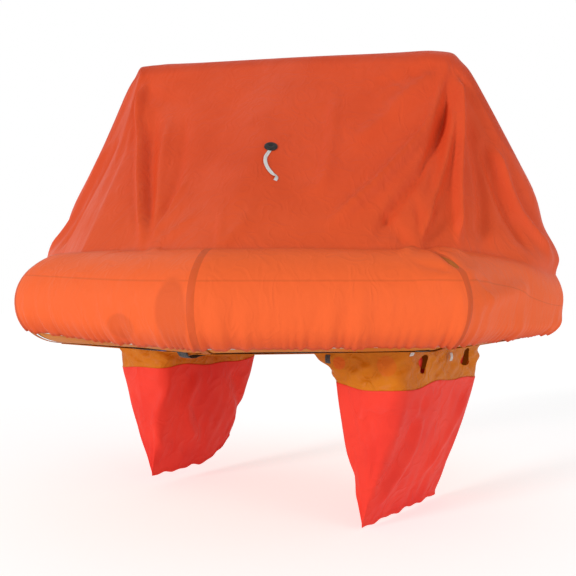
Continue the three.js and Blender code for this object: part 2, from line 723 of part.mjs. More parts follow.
function collarOutline(share, inset) {
  const flare = COLLAR_FLARE * (1 - share) ** 2;
  const level = -GAP - COLLAR_HEIGHT * share;
  return bagOutline(level, BAG_HALF_WIDTH + flare, BAG_INNER_EDGE - flare, BAG_OUTER_EDGE + flare, inset);
}

function collarGeometry(bag) {
  const place = bagFrame(bag);
  const shares = [0, 1 / 3, 2 / 3, 1];
  const walls = [
    ...shares.map((share) => collarOutline(share, 0)),
    ...shares.toReversed().map((share) => collarOutline(share, BAG_WALL)),
  ];
  const rings = walls[0].map((_, step) => walls.map((outline) => place(...outline[step])));
  const holes = WATER_HOLE_OFFSETS.map((offset) => {
    const hole = new THREE.CylinderGeometry(WATER_HOLE_RADIUS, WATER_HOLE_RADIUS, 2 * BAG_OUTER_EDGE, 20);
    hole.rotateZ(Math.PI / 2);
    hole.translate(BAG_OUTER_EDGE - BAG_INWARD_SHIFT[bag], offset, -WATER_HOLE_DROP);
    hole.rotateZ(radians(BAG_HEADING + 180 * bag));
    return hole;
  });
  return cutAway(loft(rings, true), ...holes);
}

function bagColumns(bag, inset) {
  const place = bagFrame(bag);
  const mouth = bagOutline(-2 * GAP - COLLAR_HEIGHT, BAG_HALF_WIDTH, BAG_INNER_EDGE, BAG_OUTER_EDGE, inset);
  return mouth.map(([radius, width, top]) => {
    const seamWidth = (width / (BAG_HALF_WIDTH - inset)) * (BAG_SEAM_HALF_WIDTH - inset);
    const farShare = Math.max(0, -seamWidth / BAG_SEAM_HALF_WIDTH);
    const bottom = -BAG_DROP[bag] + inset * 2 + BAG_FAR_TIP_RISE[bag] * farShare ** 3;
    const middle = (BAG_INNER_EDGE + BAG_OUTER_EDGE) / 2;
    const points = [];
    for (let row = BAG_ROWS; row >= 0; row -= 1) {
      const share = row / BAG_ROWS;
      const bulge = BAG_FOLD_DEPTH * Math.sin(2 * Math.PI * share) * Math.sign(radius - middle);
      points.push(place(
        THREE.MathUtils.lerp(radius, BAG_SEAM_RADIUS, share) - bulge,
        THREE.MathUtils.lerp(width, seamWidth, share),
        THREE.MathUtils.lerp(top, bottom, share)));
    }
    return points;
  });
}

const bagNames = ['right', 'left'];
bagNames.forEach((name, bag) => {
  addPiece(`ballast_collar_${name}`, collarGeometry(bag), finish(COLLAR_CLOTH, 0.5));
  addPiece(`ballast_bag_${name}`, clothShell(bagColumns(bag, 0), bagColumns(bag, BAG_WALL)),
    finish(BAG_CLOTH, 0.6));
});

// White webbing tabs that hold the corners of each collar
const tabSpots = [
  [BAG_INNER_EDGE - COLLAR_FLARE, -1], [BAG_INNER_EDGE - COLLAR_FLARE, 1],
  [BAG_OUTER_EDGE + COLLAR_FLARE, -1], [BAG_OUTER_EDGE + COLLAR_FLARE, 1],
];
bagNames.forEach((name, bag) => {
  tabSpots.forEach(([edge, end], number) => {
    const outwards = edge > BAG_SEAM_RADIUS ? 1 : -1;
    const seat = edge + outwards * (GAP + BAG_TAB_THICKNESS / 2);
    const tab = new THREE.BoxGeometry(BAG_TAB_THICKNESS, BAG_TAB_WIDTH, BAG_TAB_LENGTH);
    tab.translate(seat - BAG_INWARD_SHIFT[bag], end * BAG_TAB_OFFSET, -GAP - BAG_TAB_LENGTH / 2);
    tab.rotateZ(radians(BAG_HEADING + 180 * bag));
    addPiece(`${name}_bag_tab_${number + 1}`, tab, finish(WHITE_WEBBING, 0.8));
  });
});

// Righting strap, slack under the floor between the bags
const strapHeading = radians(BAG_HEADING - 90);
const strapAlong = new THREE.Vector3(Math.cos(strapHeading), Math.sin(strapHeading), 0);
const strapAside = new THREE.Vector3(-strapAlong.y, strapAlong.x, 0).multiplyScalar(RIGHTING_STRAP_OFFSET);
// A place on the facet under the tube, as its reach from the middle and its height
function underTube(aside) {
  const angle = radians(UNDERSIDE_ANGLE);
  const out = UNDERSIDE_SEAT + RIGHTING_STRAP_THICKNESS / 2;
  return [
    RING_APOTHEM + out * Math.cos(angle) - aside * Math.sin(angle),
    TUBE_HEIGHT + out * Math.sin(angle) + aside * Math.cos(angle),
  ];
}
const strapEnd = underTube(-STRAP_SEAT_LENGTH / 4);
const strapHalf = [
  underTube(STRAP_SEAT_LENGTH * 3 / 4),
  strapEnd,
  ...STRAP_SLACK.map(([inward, drop]) => (
    [strapEnd[0] - inward * RING_APOTHEM, strapEnd[1] - drop * RIGHTING_STRAP_SAG])),
];
const strapCentres = [
  ...strapHalf.map(([reach, height]) => strapAside.clone().addScaledVector(strapAlong, reach).setZ(height)),
  ...strapHalf.toReversed().map(([reach, height]) => (
    strapAside.clone().addScaledVector(strapAlong, -reach).setZ(height))),
];
addPiece('righting_strap',
  sweep(framePath(strapCentres, UP), () => flatSection(RIGHTING_STRAP_WIDTH, RIGHTING_STRAP_THICKNESS)),
  finish(BLACK_WEBBING, 0.85));

// Short webbing pieces that lie along the tube's underside
function tubeStrip(position, length, width, thickness, degrees, seat) {
  const { centre, normal } = ringStation(position);
  const along = new THREE.Vector3(normal.y, -normal.x, 0);
  const angle = radians(degrees);
  const out = normal.clone().multiplyScalar(Math.cos(angle)).addScaledVector(UP, Math.sin(angle));
  const strip = new THREE.BoxGeometry(length, width, thickness);
  const basis = new THREE.Matrix4().makeBasis(along, new THREE.Vector3().crossVectors(out, along), out);
  strip.applyMatrix4(basis);
  const middle = centre.addScaledVector(out, seat + thickness / 2);
  strip.translate(...middle.toArray());
  return strip;
}

const handlePosition = HALF_SIDES - 1 - HANDLE_STRAP_CENTRE;
addPiece('handle_strap',
  tubeStrip(handlePosition, HANDLE_STRAP_LENGTH, HANDLE_STRAP_WIDTH, RIGHTING_STRAP_THICKNESS,
    UNDERSIDE_ANGLE, UNDERSIDE_SEAT),
  finish(BLACK_WEBBING, 0.85));
const tagPosition = handlePosition - (HANDLE_STRAP_LENGTH / 2 + TAG_LENGTH / 2 + GAP) / SIDE_LENGTH;
addPiece('blue_tag',
  tubeStrip(tagPosition, TAG_LENGTH, HANDLE_STRAP_WIDTH, RIGHTING_STRAP_THICKNESS, UNDERSIDE_ANGLE,
    UNDERSIDE_SEAT),
  finish(BLUE_TAG, 0.6));
addPiece('retrieval_strap',
  tubeStrip(1 + (TAPE_WIDTH + RETRIEVAL_STRAP_LENGTH) / 2 / SIDE_LENGTH + 0.01, RETRIEVAL_STRAP_LENGTH,
    HANDLE_STRAP_WIDTH, RIGHTING_STRAP_THICKNESS, UNDERSIDE_ANGLE, UNDERSIDE_SEAT),
  finish(GREY_WEBBING, 0.85));

// Gas cylinder in its straps, head, hose and inlet
const cylinderDepth = GAP + CYLINDER_STRAP_THICKNESS + GAP + CYLINDER_RADIUS;
const halfBarrel = CYLINDER_LENGTH / 2;
const cylinderProfile = [
  [0, -halfBarrel], [CYLINDER_RADIUS * 0.5, -halfBarrel + CYLINDER_DOME * 0.12],
  [CYLINDER_RADIUS * 0.87, -halfBarrel + CYLINDER_DOME * 0.5], [CYLINDER_RADIUS, -halfBarrel + CYLINDER_DOME],
  [CYLINDER_RADIUS, halfBarrel - CYLINDER_DOME], [CYLINDER_RADIUS * 0.87, halfBarrel - CYLINDER_DOME * 0.5],
  [CYLINDER_RADIUS * 0.5, halfBarrel - CYLINDER_DOME * 0.12], [CYLINDER_NECK_RADIUS, halfBarrel],
  [CYLINDER_NECK_RADIUS, halfBarrel + CYLINDER_NECK_LENGTH], [0, halfBarrel + CYLINDER_NECK_LENGTH],
].map(([radius, height]) => new THREE.Vector2(radius, height));
const cylinderGeometry = new THREE.LatheGeometry(cylinderProfile, 32);
cylinderGeometry.rotateZ(-Math.PI / 2);
cylinderGeometry.translate(0, CYLINDER_Y, -cylinderDepth);
addPiece('gas_cylinder', cylinderGeometry, finish(CYLINDER_PAINT, 0.45, 0.1));

[-1, 1].forEach((way, number) => {
  const rings = [];
  const inner = CYLINDER_RADIUS + GAP;
  const outer = inner + CYLINDER_STRAP_THICKNESS;
  for (let facet = 0; facet < 32; facet += 1) {
    const angle = (2 * Math.PI * facet) / 32;
    const at = (radius, shift) => new THREE.Vector3(
      way * CYLINDER_STRAP_SPREAD + shift, CYLINDER_Y + radius * Math.cos(angle),
      -cylinderDepth + radius * Math.sin(angle));
    const half = CYLINDER_STRAP_WIDTH / 2;
    rings.push([at(inner, -half), at(inner, half), at(outer, half), at(outer, -half)]);
  }
  addPiece(`cylinder_strap_${number + 1}`, loft(rings, true), finish(BLACK_WEBBING, 0.85));
});

const headStart = halfBarrel + CYLINDER_NECK_LENGTH + GAP;
const headGeometry = new THREE.CylinderGeometry(HEAD_RADIUS, HEAD_RADIUS * 0.8, HEAD_LENGTH, 24);
headGeometry.rotateZ(-Math.PI / 2);
headGeometry.translate(headStart + HEAD_LENGTH / 2, CYLINDER_Y, -cylinderDepth);
addPiece('cylinder_head', headGeometry, finish(BRASS, 0.35, 0.9));

const inletPosition = RING_SIDES - 1 - INLET_SIDE_SHARE;
const inletStation = ringStation(inletPosition);
const inletOut = inletStation.normal.clone().multiplyScalar(Math.cos(radians(UNDERSIDE_ANGLE)))
  .addScaledVector(UP, Math.sin(radians(UNDERSIDE_ANGLE)));
const inletGeometry = new THREE.CylinderGeometry(INLET_RADIUS * 0.8, INLET_RADIUS, INLET_HEIGHT, 20);
inletGeometry.translate(0, INLET_HEIGHT / 2, 0);
inletGeometry.applyQuaternion(new THREE.Quaternion().setFromUnitVectors(new THREE.Vector3(0, 1, 0), inletOut));
const inletSeat = inletStation.centre.clone().addScaledVector(inletOut, UNDERSIDE_SEAT);
inletGeometry.translate(...inletSeat.toArray());
addPiece('inlet_valve', inletGeometry, finish(BLACK_RUBBER, 0.5));

const hoseStart = new THREE.Vector3(headStart + HEAD_LENGTH / 2, CYLINDER_Y + HEAD_RADIUS + GAP, -cylinderDepth);
const hoseEnd = inletSeat.clone().addScaledVector(inletOut, INLET_HEIGHT + GAP);
const hoseCurve = new THREE.CubicBezierCurve3(
  hoseStart,
  hoseStart.clone().add(new THREE.Vector3(0, HOSE_START_REACH, 0)),
  hoseEnd.clone().addScaledVector(inletOut, HOSE_END_REACH),
  hoseEnd);
const hoseShape = new THREE.Shape();
hoseShape.absarc(0, 0, HOSE_RADIUS, 0, 2 * Math.PI);
addPiece('inflation_hose',
  new THREE.ExtrudeGeometry(hoseShape, { steps: 14, curveSegments: 8, extrudePath: hoseCurve }),
  finish(BLACK_RUBBER, 0.6));

// Valves on the inner side of the tube, under the doorway
function valveFrame(position) {
  const { centre, normal } = ringStation(position);
  const angle = radians(180 - VALVE_ELEVATION);
  const out = normal.clone().multiplyScalar(Math.cos(angle)).addScaledVector(UP, Math.sin(angle));
  return { seat: centre.clone().addScaledVector(out, TUBE_RADIUS + GAP), out };
}

function onValve(geometry, position, lift) {
  const { seat, out } = valveFrame(position);
  geometry.applyQuaternion(new THREE.Quaternion().setFromUnitVectors(new THREE.Vector3(0, 1, 0), out));
  geometry.translate(...seat.addScaledVector(out, lift).toArray());
  return geometry;
}

function latheOf(profile, facets) {
  return new THREE.LatheGeometry(profile.map(([radius, height]) => new THREE.Vector2(radius, height)), facets);
}

TOPUP_POSITIONS.forEach((position, number) => {
  const name = `topup_valve_${number + 1}`;
  const body = latheOf([
    [0, 0], [VALVE_BASE_RADIUS, 0], [VALVE_BASE_RADIUS, VALVE_BASE_HEIGHT * 0.6],
    [VALVE_BODY_RADIUS + 3, VALVE_BASE_HEIGHT], [VALVE_BODY_RADIUS, VALVE_BASE_HEIGHT + VALVE_BODY_HEIGHT],
    [0, VALVE_BASE_HEIGHT + VALVE_BODY_HEIGHT],
  ], 28);
  addPiece(`${name}_body`, onValve(body, position, 0), finish(VALVE_PLASTIC, 0.5));
  const disc = new THREE.CylinderGeometry(VALVE_CAP_RADIUS, VALVE_CAP_RADIUS, VALVE_CAP_HEIGHT, 28);
  const wing = new THREE.BoxGeometry(VALVE_WING_LENGTH, VALVE_WING_HEIGHT, VALVE_WING_WIDTH);
  wing.translate(0, VALVE_CAP_HEIGHT / 2 + VALVE_WING_HEIGHT / 2 - 1, 0);
  const cap = fromManifold(toManifold(disc).add(toManifold(wing)));
  const lift = VALVE_BASE_HEIGHT + VALVE_BODY_HEIGHT + GAP + VALVE_CAP_HEIGHT / 2;
  addPiece(`${name}_cap`, onValve(cap, position, lift), finish(BLACK_RUBBER, 0.5));
});

RELIEF_POSITIONS.forEach((position, number) => {
  const relief = latheOf([
    [0, 0], [RELIEF_RADIUS + 6, 0], [RELIEF_RADIUS + 6, RELIEF_HEIGHT * 0.25],
    [RELIEF_RADIUS, RELIEF_HEIGHT * 0.4], [RELIEF_RADIUS * 0.9, RELIEF_HEIGHT], [0, RELIEF_HEIGHT],
  ], 24);
  addPiece(`relief_valve_${number + 1}`, onValve(relief, position, 0), finish(VALVE_PLASTIC, 0.5));
});

export default part;
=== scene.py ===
"""Dressed model of an inflated canopied liferaft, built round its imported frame.

The raft is one ring of buoyancy tube with a tent over an inflated arch, and two ballast bags
that hang in the water under its floor. Every size is in metres, in the frame of the CAD model:
+X runs along the ridge, -Y is the closed front of the tent and +Z is up. Places round the ring
are given as laps: a lap counts sides of the ring from the +X corner, round the front.
"""
from __future__ import annotations

import logging
import math
from dataclasses import dataclass, field
from typing import Sequence

import bpy
import numpy as np
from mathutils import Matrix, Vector
from mathutils.bvhtree import BVHTree


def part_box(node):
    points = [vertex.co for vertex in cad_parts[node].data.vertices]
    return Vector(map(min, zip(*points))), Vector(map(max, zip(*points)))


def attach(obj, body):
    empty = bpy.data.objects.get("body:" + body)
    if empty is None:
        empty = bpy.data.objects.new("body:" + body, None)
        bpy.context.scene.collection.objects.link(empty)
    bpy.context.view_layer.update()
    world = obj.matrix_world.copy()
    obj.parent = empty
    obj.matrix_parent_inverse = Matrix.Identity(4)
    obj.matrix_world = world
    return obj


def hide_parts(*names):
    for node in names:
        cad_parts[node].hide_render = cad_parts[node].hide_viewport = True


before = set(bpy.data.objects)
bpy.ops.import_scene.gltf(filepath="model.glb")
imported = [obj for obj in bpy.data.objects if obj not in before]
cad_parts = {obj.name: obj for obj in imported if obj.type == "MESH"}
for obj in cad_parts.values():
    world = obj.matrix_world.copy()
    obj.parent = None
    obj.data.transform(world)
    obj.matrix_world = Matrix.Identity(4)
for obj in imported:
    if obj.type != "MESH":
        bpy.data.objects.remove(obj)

LOG = logging.getLogger("liferaft")
Grid = np.ndarray
RING_SIDES = 8
HALF_CORNER = math.pi / RING_SIDES
UP = np.array([0.0, 0.0, 1.0])
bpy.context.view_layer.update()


def smooth(value: Grid | float) -> Grid:
    """Smoothstep: 3v^2 - 2v^3 with v held between 0 and 1."""
    held = np.clip(value, 0.0, 1.0)
    return held * held * (3.0 - 2.0 * held)


def unit(vectors: Grid) -> Grid:
    """Vectors divided by their lengths, along the last axis."""
    return vectors / np.maximum(np.linalg.norm(vectors, axis=-1, keepdims=True), 1e-12)


def spline(points: Sequence[Sequence[float]], count: int) -> Grid:
    """A smooth line through points.

    Catmull-Rom: between two points the line is the cubic whose slope at each is half the
    difference of its neighbours.

    Args:
        points: the points to pass through.
        count: how many points come back, evenly spaced in the parameter.

    Returns:
        An array of count points.
    """
    known = np.asarray(points, dtype=float)
    padded = np.vstack([2 * known[0] - known[1], known, 2 * known[-1] - known[-2]])
    place = np.linspace(0, len(known) - 1, count)
    index = np.minimum(place.astype(int), len(known) - 2)
    t = (place - index)[:, None]
    a, b, c, d = (padded[index + step] for step in range(4))
    return 0.5 * (2 * b + (c - a) * t + (2 * a - 5 * b + 4 * c - d) * t**2 + (3 * b - a - 3 * c + d) * t**3)


def ripple(seed: int, along: Grid, down: Grid, waves: int, low: float, high: float) -> Grid:
    """Soft unevenness between about -1 and 1.

    A sum of sine waves whose directions, counts and starts come from a seeded generator.

    Args:
        seed: the generator's seed.
        along: first coordinate, in laps.
        down: second coordinate.
        waves: how many waves are added.
        low: the smallest count of waves per unit.
        high: the largest count of waves per unit.

    Returns:
        The sum, the shape of along and down together.
    """
    draw = np.random.default_rng(seed)
    total = np.zeros(np.broadcast(along, down).shape)
    for _ in range(waves):
        # whole waves per full turn of eight laps keep the seam closed
        turns = round(draw.uniform(low, high) * RING_SIDES) * draw.choice([-1, 1])
        total += np.sin(2 * math.pi * (turns * along / RING_SIDES + draw.uniform(low, high) * down)
                        + draw.uniform(0, 6.28))
    return total / waves * 1.8


@dataclass
class Shell:
    """A grid of points with the helpers that turn it into a mesh.

    Rows run down the first axis and columns along the second.
    """

    points: Grid
    joined: bool = True
    metres: Grid | None = None

    def normals(self) -> Grid:
        """Unit normals of the grid: the cross product of its two differences."""
        if self.joined:
            along = np.roll(self.points, -1, axis=1) - np.roll(self.points, 1, axis=1)
        else:
            along = np.gradient(self.points, axis=1)
        down = np.gradient(self.points, axis=0)
        return unit(np.cross(down, along))

    def quads(self) -> Grid:
        """Corner numbers of the quads between neighbouring rows and columns."""
        rows, columns = self.points.shape[:2]
        last = columns if self.joined else columns - 1
        row, column = np.meshgrid(np.arange(rows - 1), np.arange(last), indexing="ij")
        after = (column + 1) % columns
        return np.stack([row * columns + column, (row + 1) * columns + column,
                         (row + 1) * columns + after, row * columns + after], -1).reshape(-1, 4)

    def corner_metres(self) -> Grid:
        """Flat cloth coordinates of every quad corner, in the order of quads()."""
        wide = self.metres
        first, second = wide[:-1], wide[1:]
        return np.stack([first[:, :-1], second[:, :-1], second[:, 1:], first[:, 1:]], 2).reshape(-1, 2)


def new_object(name: str, points: Grid, faces: Grid, metres: Grid | None = None,
               caps: Sequence[Sequence[int]] = (), centre: Grid | None = None) -> bpy.types.Object:
    """A smooth mesh object at the origin, its faces pointing outwards.

    Args:
        name: the object's name.
        points: its points.
        faces: quads, as corner numbers.
        metres: flat coordinates of each quad corner, for a UV map.
        caps: further faces that close ends.
        centre: a point inside an open sheet, which its faces turn away from. Without it the
            shape is closed, and the sign of its volume decides.

    Returns:
        The new object, linked to the scene.
    """
    points = points.reshape(-1, 3)
    a, b, c, d = (points[faces[:, corner]] for corner in range(4))
    if centre is None:
        signed = (np.einsum("ij,ij->i", a, np.cross(b, c))
                  + np.einsum("ij,ij->i", a, np.cross(c, d))).sum()
    else:
        signed = np.einsum("ij,ij->i", np.cross(c - a, d - b), (a + c) / 2 - centre).sum()
    caps = [list(cap) for cap in caps]
    if centre is None:
        for cap in caps:
            ring = points[cap]
            signed += np.einsum("ij,ij->i", np.broadcast_to(ring[0], ring[1:-1].shape),
                                np.cross(ring[1:-1], ring[2:])).sum()
    if signed < 0:
        faces = faces[:, ::-1]
        caps = [cap[::-1] for cap in caps]
        if metres is not None:
            metres = metres.reshape(-1, 4, 2)[:, ::-1].reshape(-1, 2)
    corners = np.concatenate([faces.ravel(), *[np.array(cap) for cap in caps]]) if caps else faces.ravel()
    sizes = np.concatenate([np.full(len(faces), 4), [len(cap) for cap in caps]]).astype(np.int32)
    starts = np.concatenate([[0], np.cumsum(sizes)[:-1]]).astype(np.int32)
    mesh = bpy.data.meshes.new(name)
    mesh.vertices.add(len(points))
    mesh.vertices.foreach_set("co", points.astype(np.float32).ravel())
    mesh.loops.add(len(corners))
    mesh.loops.foreach_set("vertex_index", corners.astype(np.int32))
    mesh.polygons.add(len(sizes))
    mesh.polygons.foreach_set("loop_start", starts)
    mesh.polygons.foreach_set("use_smooth", np.ones(len(sizes), dtype=bool))
    mesh.update(calc_edges=True)
    if metres is not None:
        layer = mesh.uv_layers.new(name="cloth_metres")
        flat = np.zeros((len(corners), 2), dtype=np.float32)
        flat[:len(metres)] = metres
        layer.data.foreach_set("uv", flat.ravel())
    mesh.validate()
    made = bpy.data.objects.new(name, mesh)
    bpy.context.scene.collection.objects.link(made)
    return made


def give_wall(piece: bpy.types.Object, thickness: float) -> None:
    """A wall inside the sheet, by a Solidify modifier."""
    wall = piece.modifiers.new("wall", "SOLIDIFY")
    wall.thickness = thickness
    wall.offset = -1.0


def settle_modifiers(piece: bpy.types.Object) -> None:
    """The modifiers' result becomes the piece's own mesh."""
    depsgraph = bpy.context.evaluated_depsgraph_get()
    result = bpy.data.meshes.new_from_object(piece.evaluated_get(depsgraph))
    piece.modifiers.clear()
    piece.data = result


def path_frames(path: Grid, hint: Grid) -> tuple[Grid, Grid, Grid]:
    """Directions along a path.

    The tangent is the difference of neighbours, across is the hint's cross product with it,
    and rise completes the three.

    Args:
        path: the points.
        hint: a direction, or one for each point, that rise follows as nearly as it can.

    Returns:
        Tangents, across directions and rise directions.
    """
    tangent = unit(np.gradient(path, axis=0))
    across = unit(np.cross(np.broadcast_to(hint, path.shape), tangent))
    return tangent, across, np.cross(tangent, across)


def sweep(name: str, path: Grid, section: Grid, hint: Grid, scale: Grid | None = None,
          closed: bool = False) -> bpy.types.Object:
    """A section carried along a path.

    Each point is path + across * x + rise * y for a section point (x, y).

    Args:
        name: the object's name.
        path: the points followed.
        section: a closed outline of (across, rise) pairs.
        hint: direction or directions for rise.
        scale: a factor for the section at each point.
        closed: whether the path ends where it starts.

    Returns:
        The object, capped unless it is closed.
    """
    if closed:
        wide = np.vstack([path[-1:], path, path[:1]])
        hints = np.broadcast_to(hint, path.shape)
        _, across, rise = path_frames(wide, np.vstack([hints[-1:], hints, hints[:1]]))
        across, rise = across[1:-1], rise[1:-1]
    else:
        _, across, rise = path_frames(path, hint)
    factor = np.ones(len(path)) if scale is None else scale
    points = (path[:, None] + across[:, None] * (section[None, :, :1] * factor[:, None, None])
              + rise[:, None] * (section[None, :, 1:] * factor[:, None, None]))
    if closed:
        points = np.concatenate([points, points[:1]])
    length = np.concatenate([[0], np.cumsum(np.linalg.norm(np.diff(points[:, 0], axis=0), axis=1))])
    outline = np.vstack([section, section[:1]])
    girth = np.concatenate([[0], np.cumsum(np.linalg.norm(np.diff(outline, axis=0), axis=1))])
    metres = np.stack(np.meshgrid(girth, length), -1)
    shell = Shell(points, True, metres)
    faces = shell.quads()
    count = len(section)
    if closed:
        faces = faces % (len(path) * count)
        return new_object(name, points[:-1], faces, shell.corner_metres())
    last = (len(path) - 1) * count
    caps = [list(range(count)), list(range(last + count - 1, last - 1, -1))]
    return new_object(name, points, faces, shell.corner_metres(), caps)


def round_section(radius: float, count: int) -> Grid:
    """Points of a circle, (r cos a, r sin a)."""
    angle = np.linspace(0, 2 * math.pi, count, endpoint=False)
    return radius * np.stack([np.cos(angle), np.sin(angle)], -1)


def flat_section(width: float, thickness: float, count: int = 20) -> Grid:
    """A webbing's section: a rounded rectangle as the superellipse of order eight."""
    angle = np.linspace(0, 2 * math.pi, count, endpoint=False)
    cosine, sine = np.cos(angle), np.sin(angle)
    bow = (np.abs(cosine) ** 8 + np.abs(sine) ** 8) ** (-1 / 8)
    return np.stack([width / 2 * cosine * bow, thickness / 2 * sine * bow], -1)


def lathe(name: str, profile: Sequence[tuple[float, float]], seat: Grid, out: Grid, segments: int = 72,
          flutes: int = 0, flute_depth: float = 0.0, squash: float = 1.0,
          along: Grid | None = None) -> bpy.types.Object:
    """A profile turned round an axis, with optional flutes on its rim.

    A point at radius r and angle a lies at r (1 - f (1 - cos(n a)) / 2), where f is the flute
    depth as a share and n the number of flutes.

    Args:
        name: the object's name.
        profile: (radius, height) pairs from the bottom of the axis to its top; the first and
            last radius may be 0.
        seat: where the axis starts.
        out: the axis.
        segments: how many columns.
        flutes: how many flutes.
        flute_depth: their depth as a share of the radius.
        squash: a factor for the second radial direction, for an oval.
        along: the first radial direction.

    Returns:
        The object, closed at both ends.
    """
    radii, heights = (np.array(values, dtype=float) for values in zip(*profile))
    out = unit(np.asarray(out, dtype=float))
    first = np.cross(out, UP if abs(out[2]) < 0.9 else np.array([1.0, 0, 0])) if along is None else along
    first = unit(first - out * (first @ out))
    second = np.cross(out, first)
    angle = np.linspace(0, 2 * math.pi, segments, endpoint=False)
    cut = 1 - flute_depth * (1 - np.cos(flutes * angle)) / 2 if flutes else np.ones(segments)
    middle = np.maximum(radii, 1e-5)[:, None] * cut[None]
    points = (np.asarray(seat) + first * (middle * np.cos(angle))[..., None]
              + second * (squash * middle * np.sin(angle))[..., None] + out * heights[:, None, None])
    girth = np.linspace(0, 2 * math.pi * radii.max(), segments + 1)
    metres = np.stack(np.meshgrid(girth, heights), -1)
    shell = Shell(points, True, metres)
    last = (len(radii) - 1) * segments
    caps = [list(range(segments)), list(range(last + segments - 1, last - 1, -1))]
    return new_object(name, points, shell.quads(), shell.corner_metres(), caps)


def place(piece: bpy.types.Object, finish: "Finish", slot: str, replaced: Sequence[str] = (),
          body: str = "raft") -> bpy.types.Object:
    """Gives a piece its material and body, and hides the CAD nodes it stands for.

    Args:
        piece: the object.
        finish: its finish.
        slot: not used.
        replaced: CAD nodes that it stands for.
        body: the CAD body it moves with.

    Returns:
        The same piece.
    """
    piece.data.materials.clear()
    piece.data.materials.append(finish.material())
    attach(piece, body)
    if replaced:
        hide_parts(*replaced)
    LOG.info("%s: %d faces", piece.name, len(piece.data.polygons))
    return piece


def linear(red: float, green: float, blue: float) -> tuple[float, float, float, float]:
    """A display colour, 0 to 255, as scene-linear."""
    def one(value: float) -> float:
        share = value / 255
        return share / 12.92 if share <= 0.04045 else ((share + 0.055) / 1.055) ** 2.4
    return (one(red), one(green), one(blue), 1.0)


class Nodes:
    """A short way to write the nodes of one tree."""

    def __init__(self, tree: bpy.types.NodeTree) -> None:
        """Starts on a tree."""
        self.tree = tree

    def add(self, kind: str, inputs: dict | None = None, **settings: object) -> bpy.types.Node:
        """A node with its settings, and inputs that are values or sockets."""
        node = self.tree.nodes.new(kind)
        for name, value in settings.items():
            setattr(node, name, value)
        for name, value in (inputs or {}).items():
            socket = node.inputs[name]
            if isinstance(value, bpy.types.NodeSocket):
                self.tree.links.new(value, socket)
            else:
                socket.default_value = value
        return node

    def math(self, operation: str, *values: object) -> bpy.types.NodeSocket:
        """A Math node's result."""
        return self.add("ShaderNodeMath", dict(enumerate(values)), operation=operation).outputs[0]

    def vector(self, operation: str, *values: object) -> bpy.types.Node:
        """A Vector Math node."""
        return self.add("ShaderNodeVectorMath", dict(enumerate(values)), operation=operation)

    def ramp(self, value: bpy.types.NodeSocket, low: float, high: float, start: float = 0.0,
             end: float = 1.0) -> bpy.types.NodeSocket:
        """A value carried smoothly from low..high to start..end."""
        return self.add("ShaderNodeMapRange", {"Value": value, "From Min": low, "From Max": high,
                                               "To Min": start, "To Max": end},
                        interpolation_type="SMOOTHSTEP").outputs[0]

    def noise(self, vector: bpy.types.NodeSocket, scale: object, detail: float, roughness: float = 0.5,
              distortion: float = 0.0) -> bpy.types.NodeSocket:
        """A Noise Texture's value."""
        return self.add("ShaderNodeTexNoise", {"Vector": vector, "Scale": scale, "Detail": detail,
                                               "Roughness": roughness, "Distortion": distortion}).outputs[0]

    def blend(self, share: object, first: object, second: object) -> bpy.types.NodeSocket:
        """Two colours mixed."""
        node = self.add("ShaderNodeMix", {0: share, 6: first, 7: second}, data_type="RGBA")
        return node.outputs[2]


def group(name: str, inputs: dict[str, tuple[str, object]], outputs: dict[str, str]
          ) -> tuple[bpy.types.NodeTree, Nodes, bpy.types.Node, bpy.types.Node, bool]:
    """A shader node group with named sockets.

    Args:
        name: the group's name.
        inputs: for each name, its socket type and default.
        outputs: for each name, its socket type.

    Returns:
        The tree, a writer on it, its input and output nodes, and whether it is new.
    """
    if name in bpy.data.node_groups:
        return bpy.data.node_groups[name], None, None, None, False
    tree = bpy.data.node_groups.new(name, "ShaderNodeTree")
    for label, (kind, default) in inputs.items():
        socket = tree.interface.new_socket(label, in_out="INPUT", socket_type=kind)
        if default is not None:
            socket.default_value = default
    for label, kind in outputs.items():
        tree.interface.new_socket(label, in_out="OUTPUT", socket_type=kind)
    return (tree, Nodes(tree), tree.nodes.new("NodeGroupInput"), tree.nodes.new("NodeGroupOutput"), True)


FLOAT, VECTOR = "NodeSocketFloat", "NodeSocketVector"


def crumple_group() -> bpy.types.NodeTree:
    """Creases of handled cloth: ridged noise, 1 - |2n - 1|, over a softer swell."""
    tree, n, start, end, fresh = group(
        "crumpled_cloth", {"Vector": (VECTOR, None), "Scale": (FLOAT, 9.0), "Sharpness": (FLOAT, 0.5)},
        {"Height": FLOAT, "Mask": FLOAT})
    if fresh:
        vector, scale = start.outputs["Vector"], start.outputs["Scale"]
        swell = n.noise(vector, scale, 3.0, distortion=0.6)
        fine = n.noise(vector, n.math("MULTIPLY", scale, 2.3), 1.5, 0.4, 1.2)
        folded = n.math("ABSOLUTE", n.math("MULTIPLY_ADD", fine, 2.0, -1.0))
        ridged = n.math("POWER", n.math("SUBTRACT", 1.0, n.math("MINIMUM", folded, 1.0)), 3.0)
        mixed = n.math("ADD", swell, n.math("MULTIPLY", ridged, start.outputs["Sharpness"]))
        n.tree.links.new(mixed, end.inputs["Height"])
        n.tree.links.new(n.ramp(swell, 0.35, 0.65), end.inputs["Mask"])
    return tree


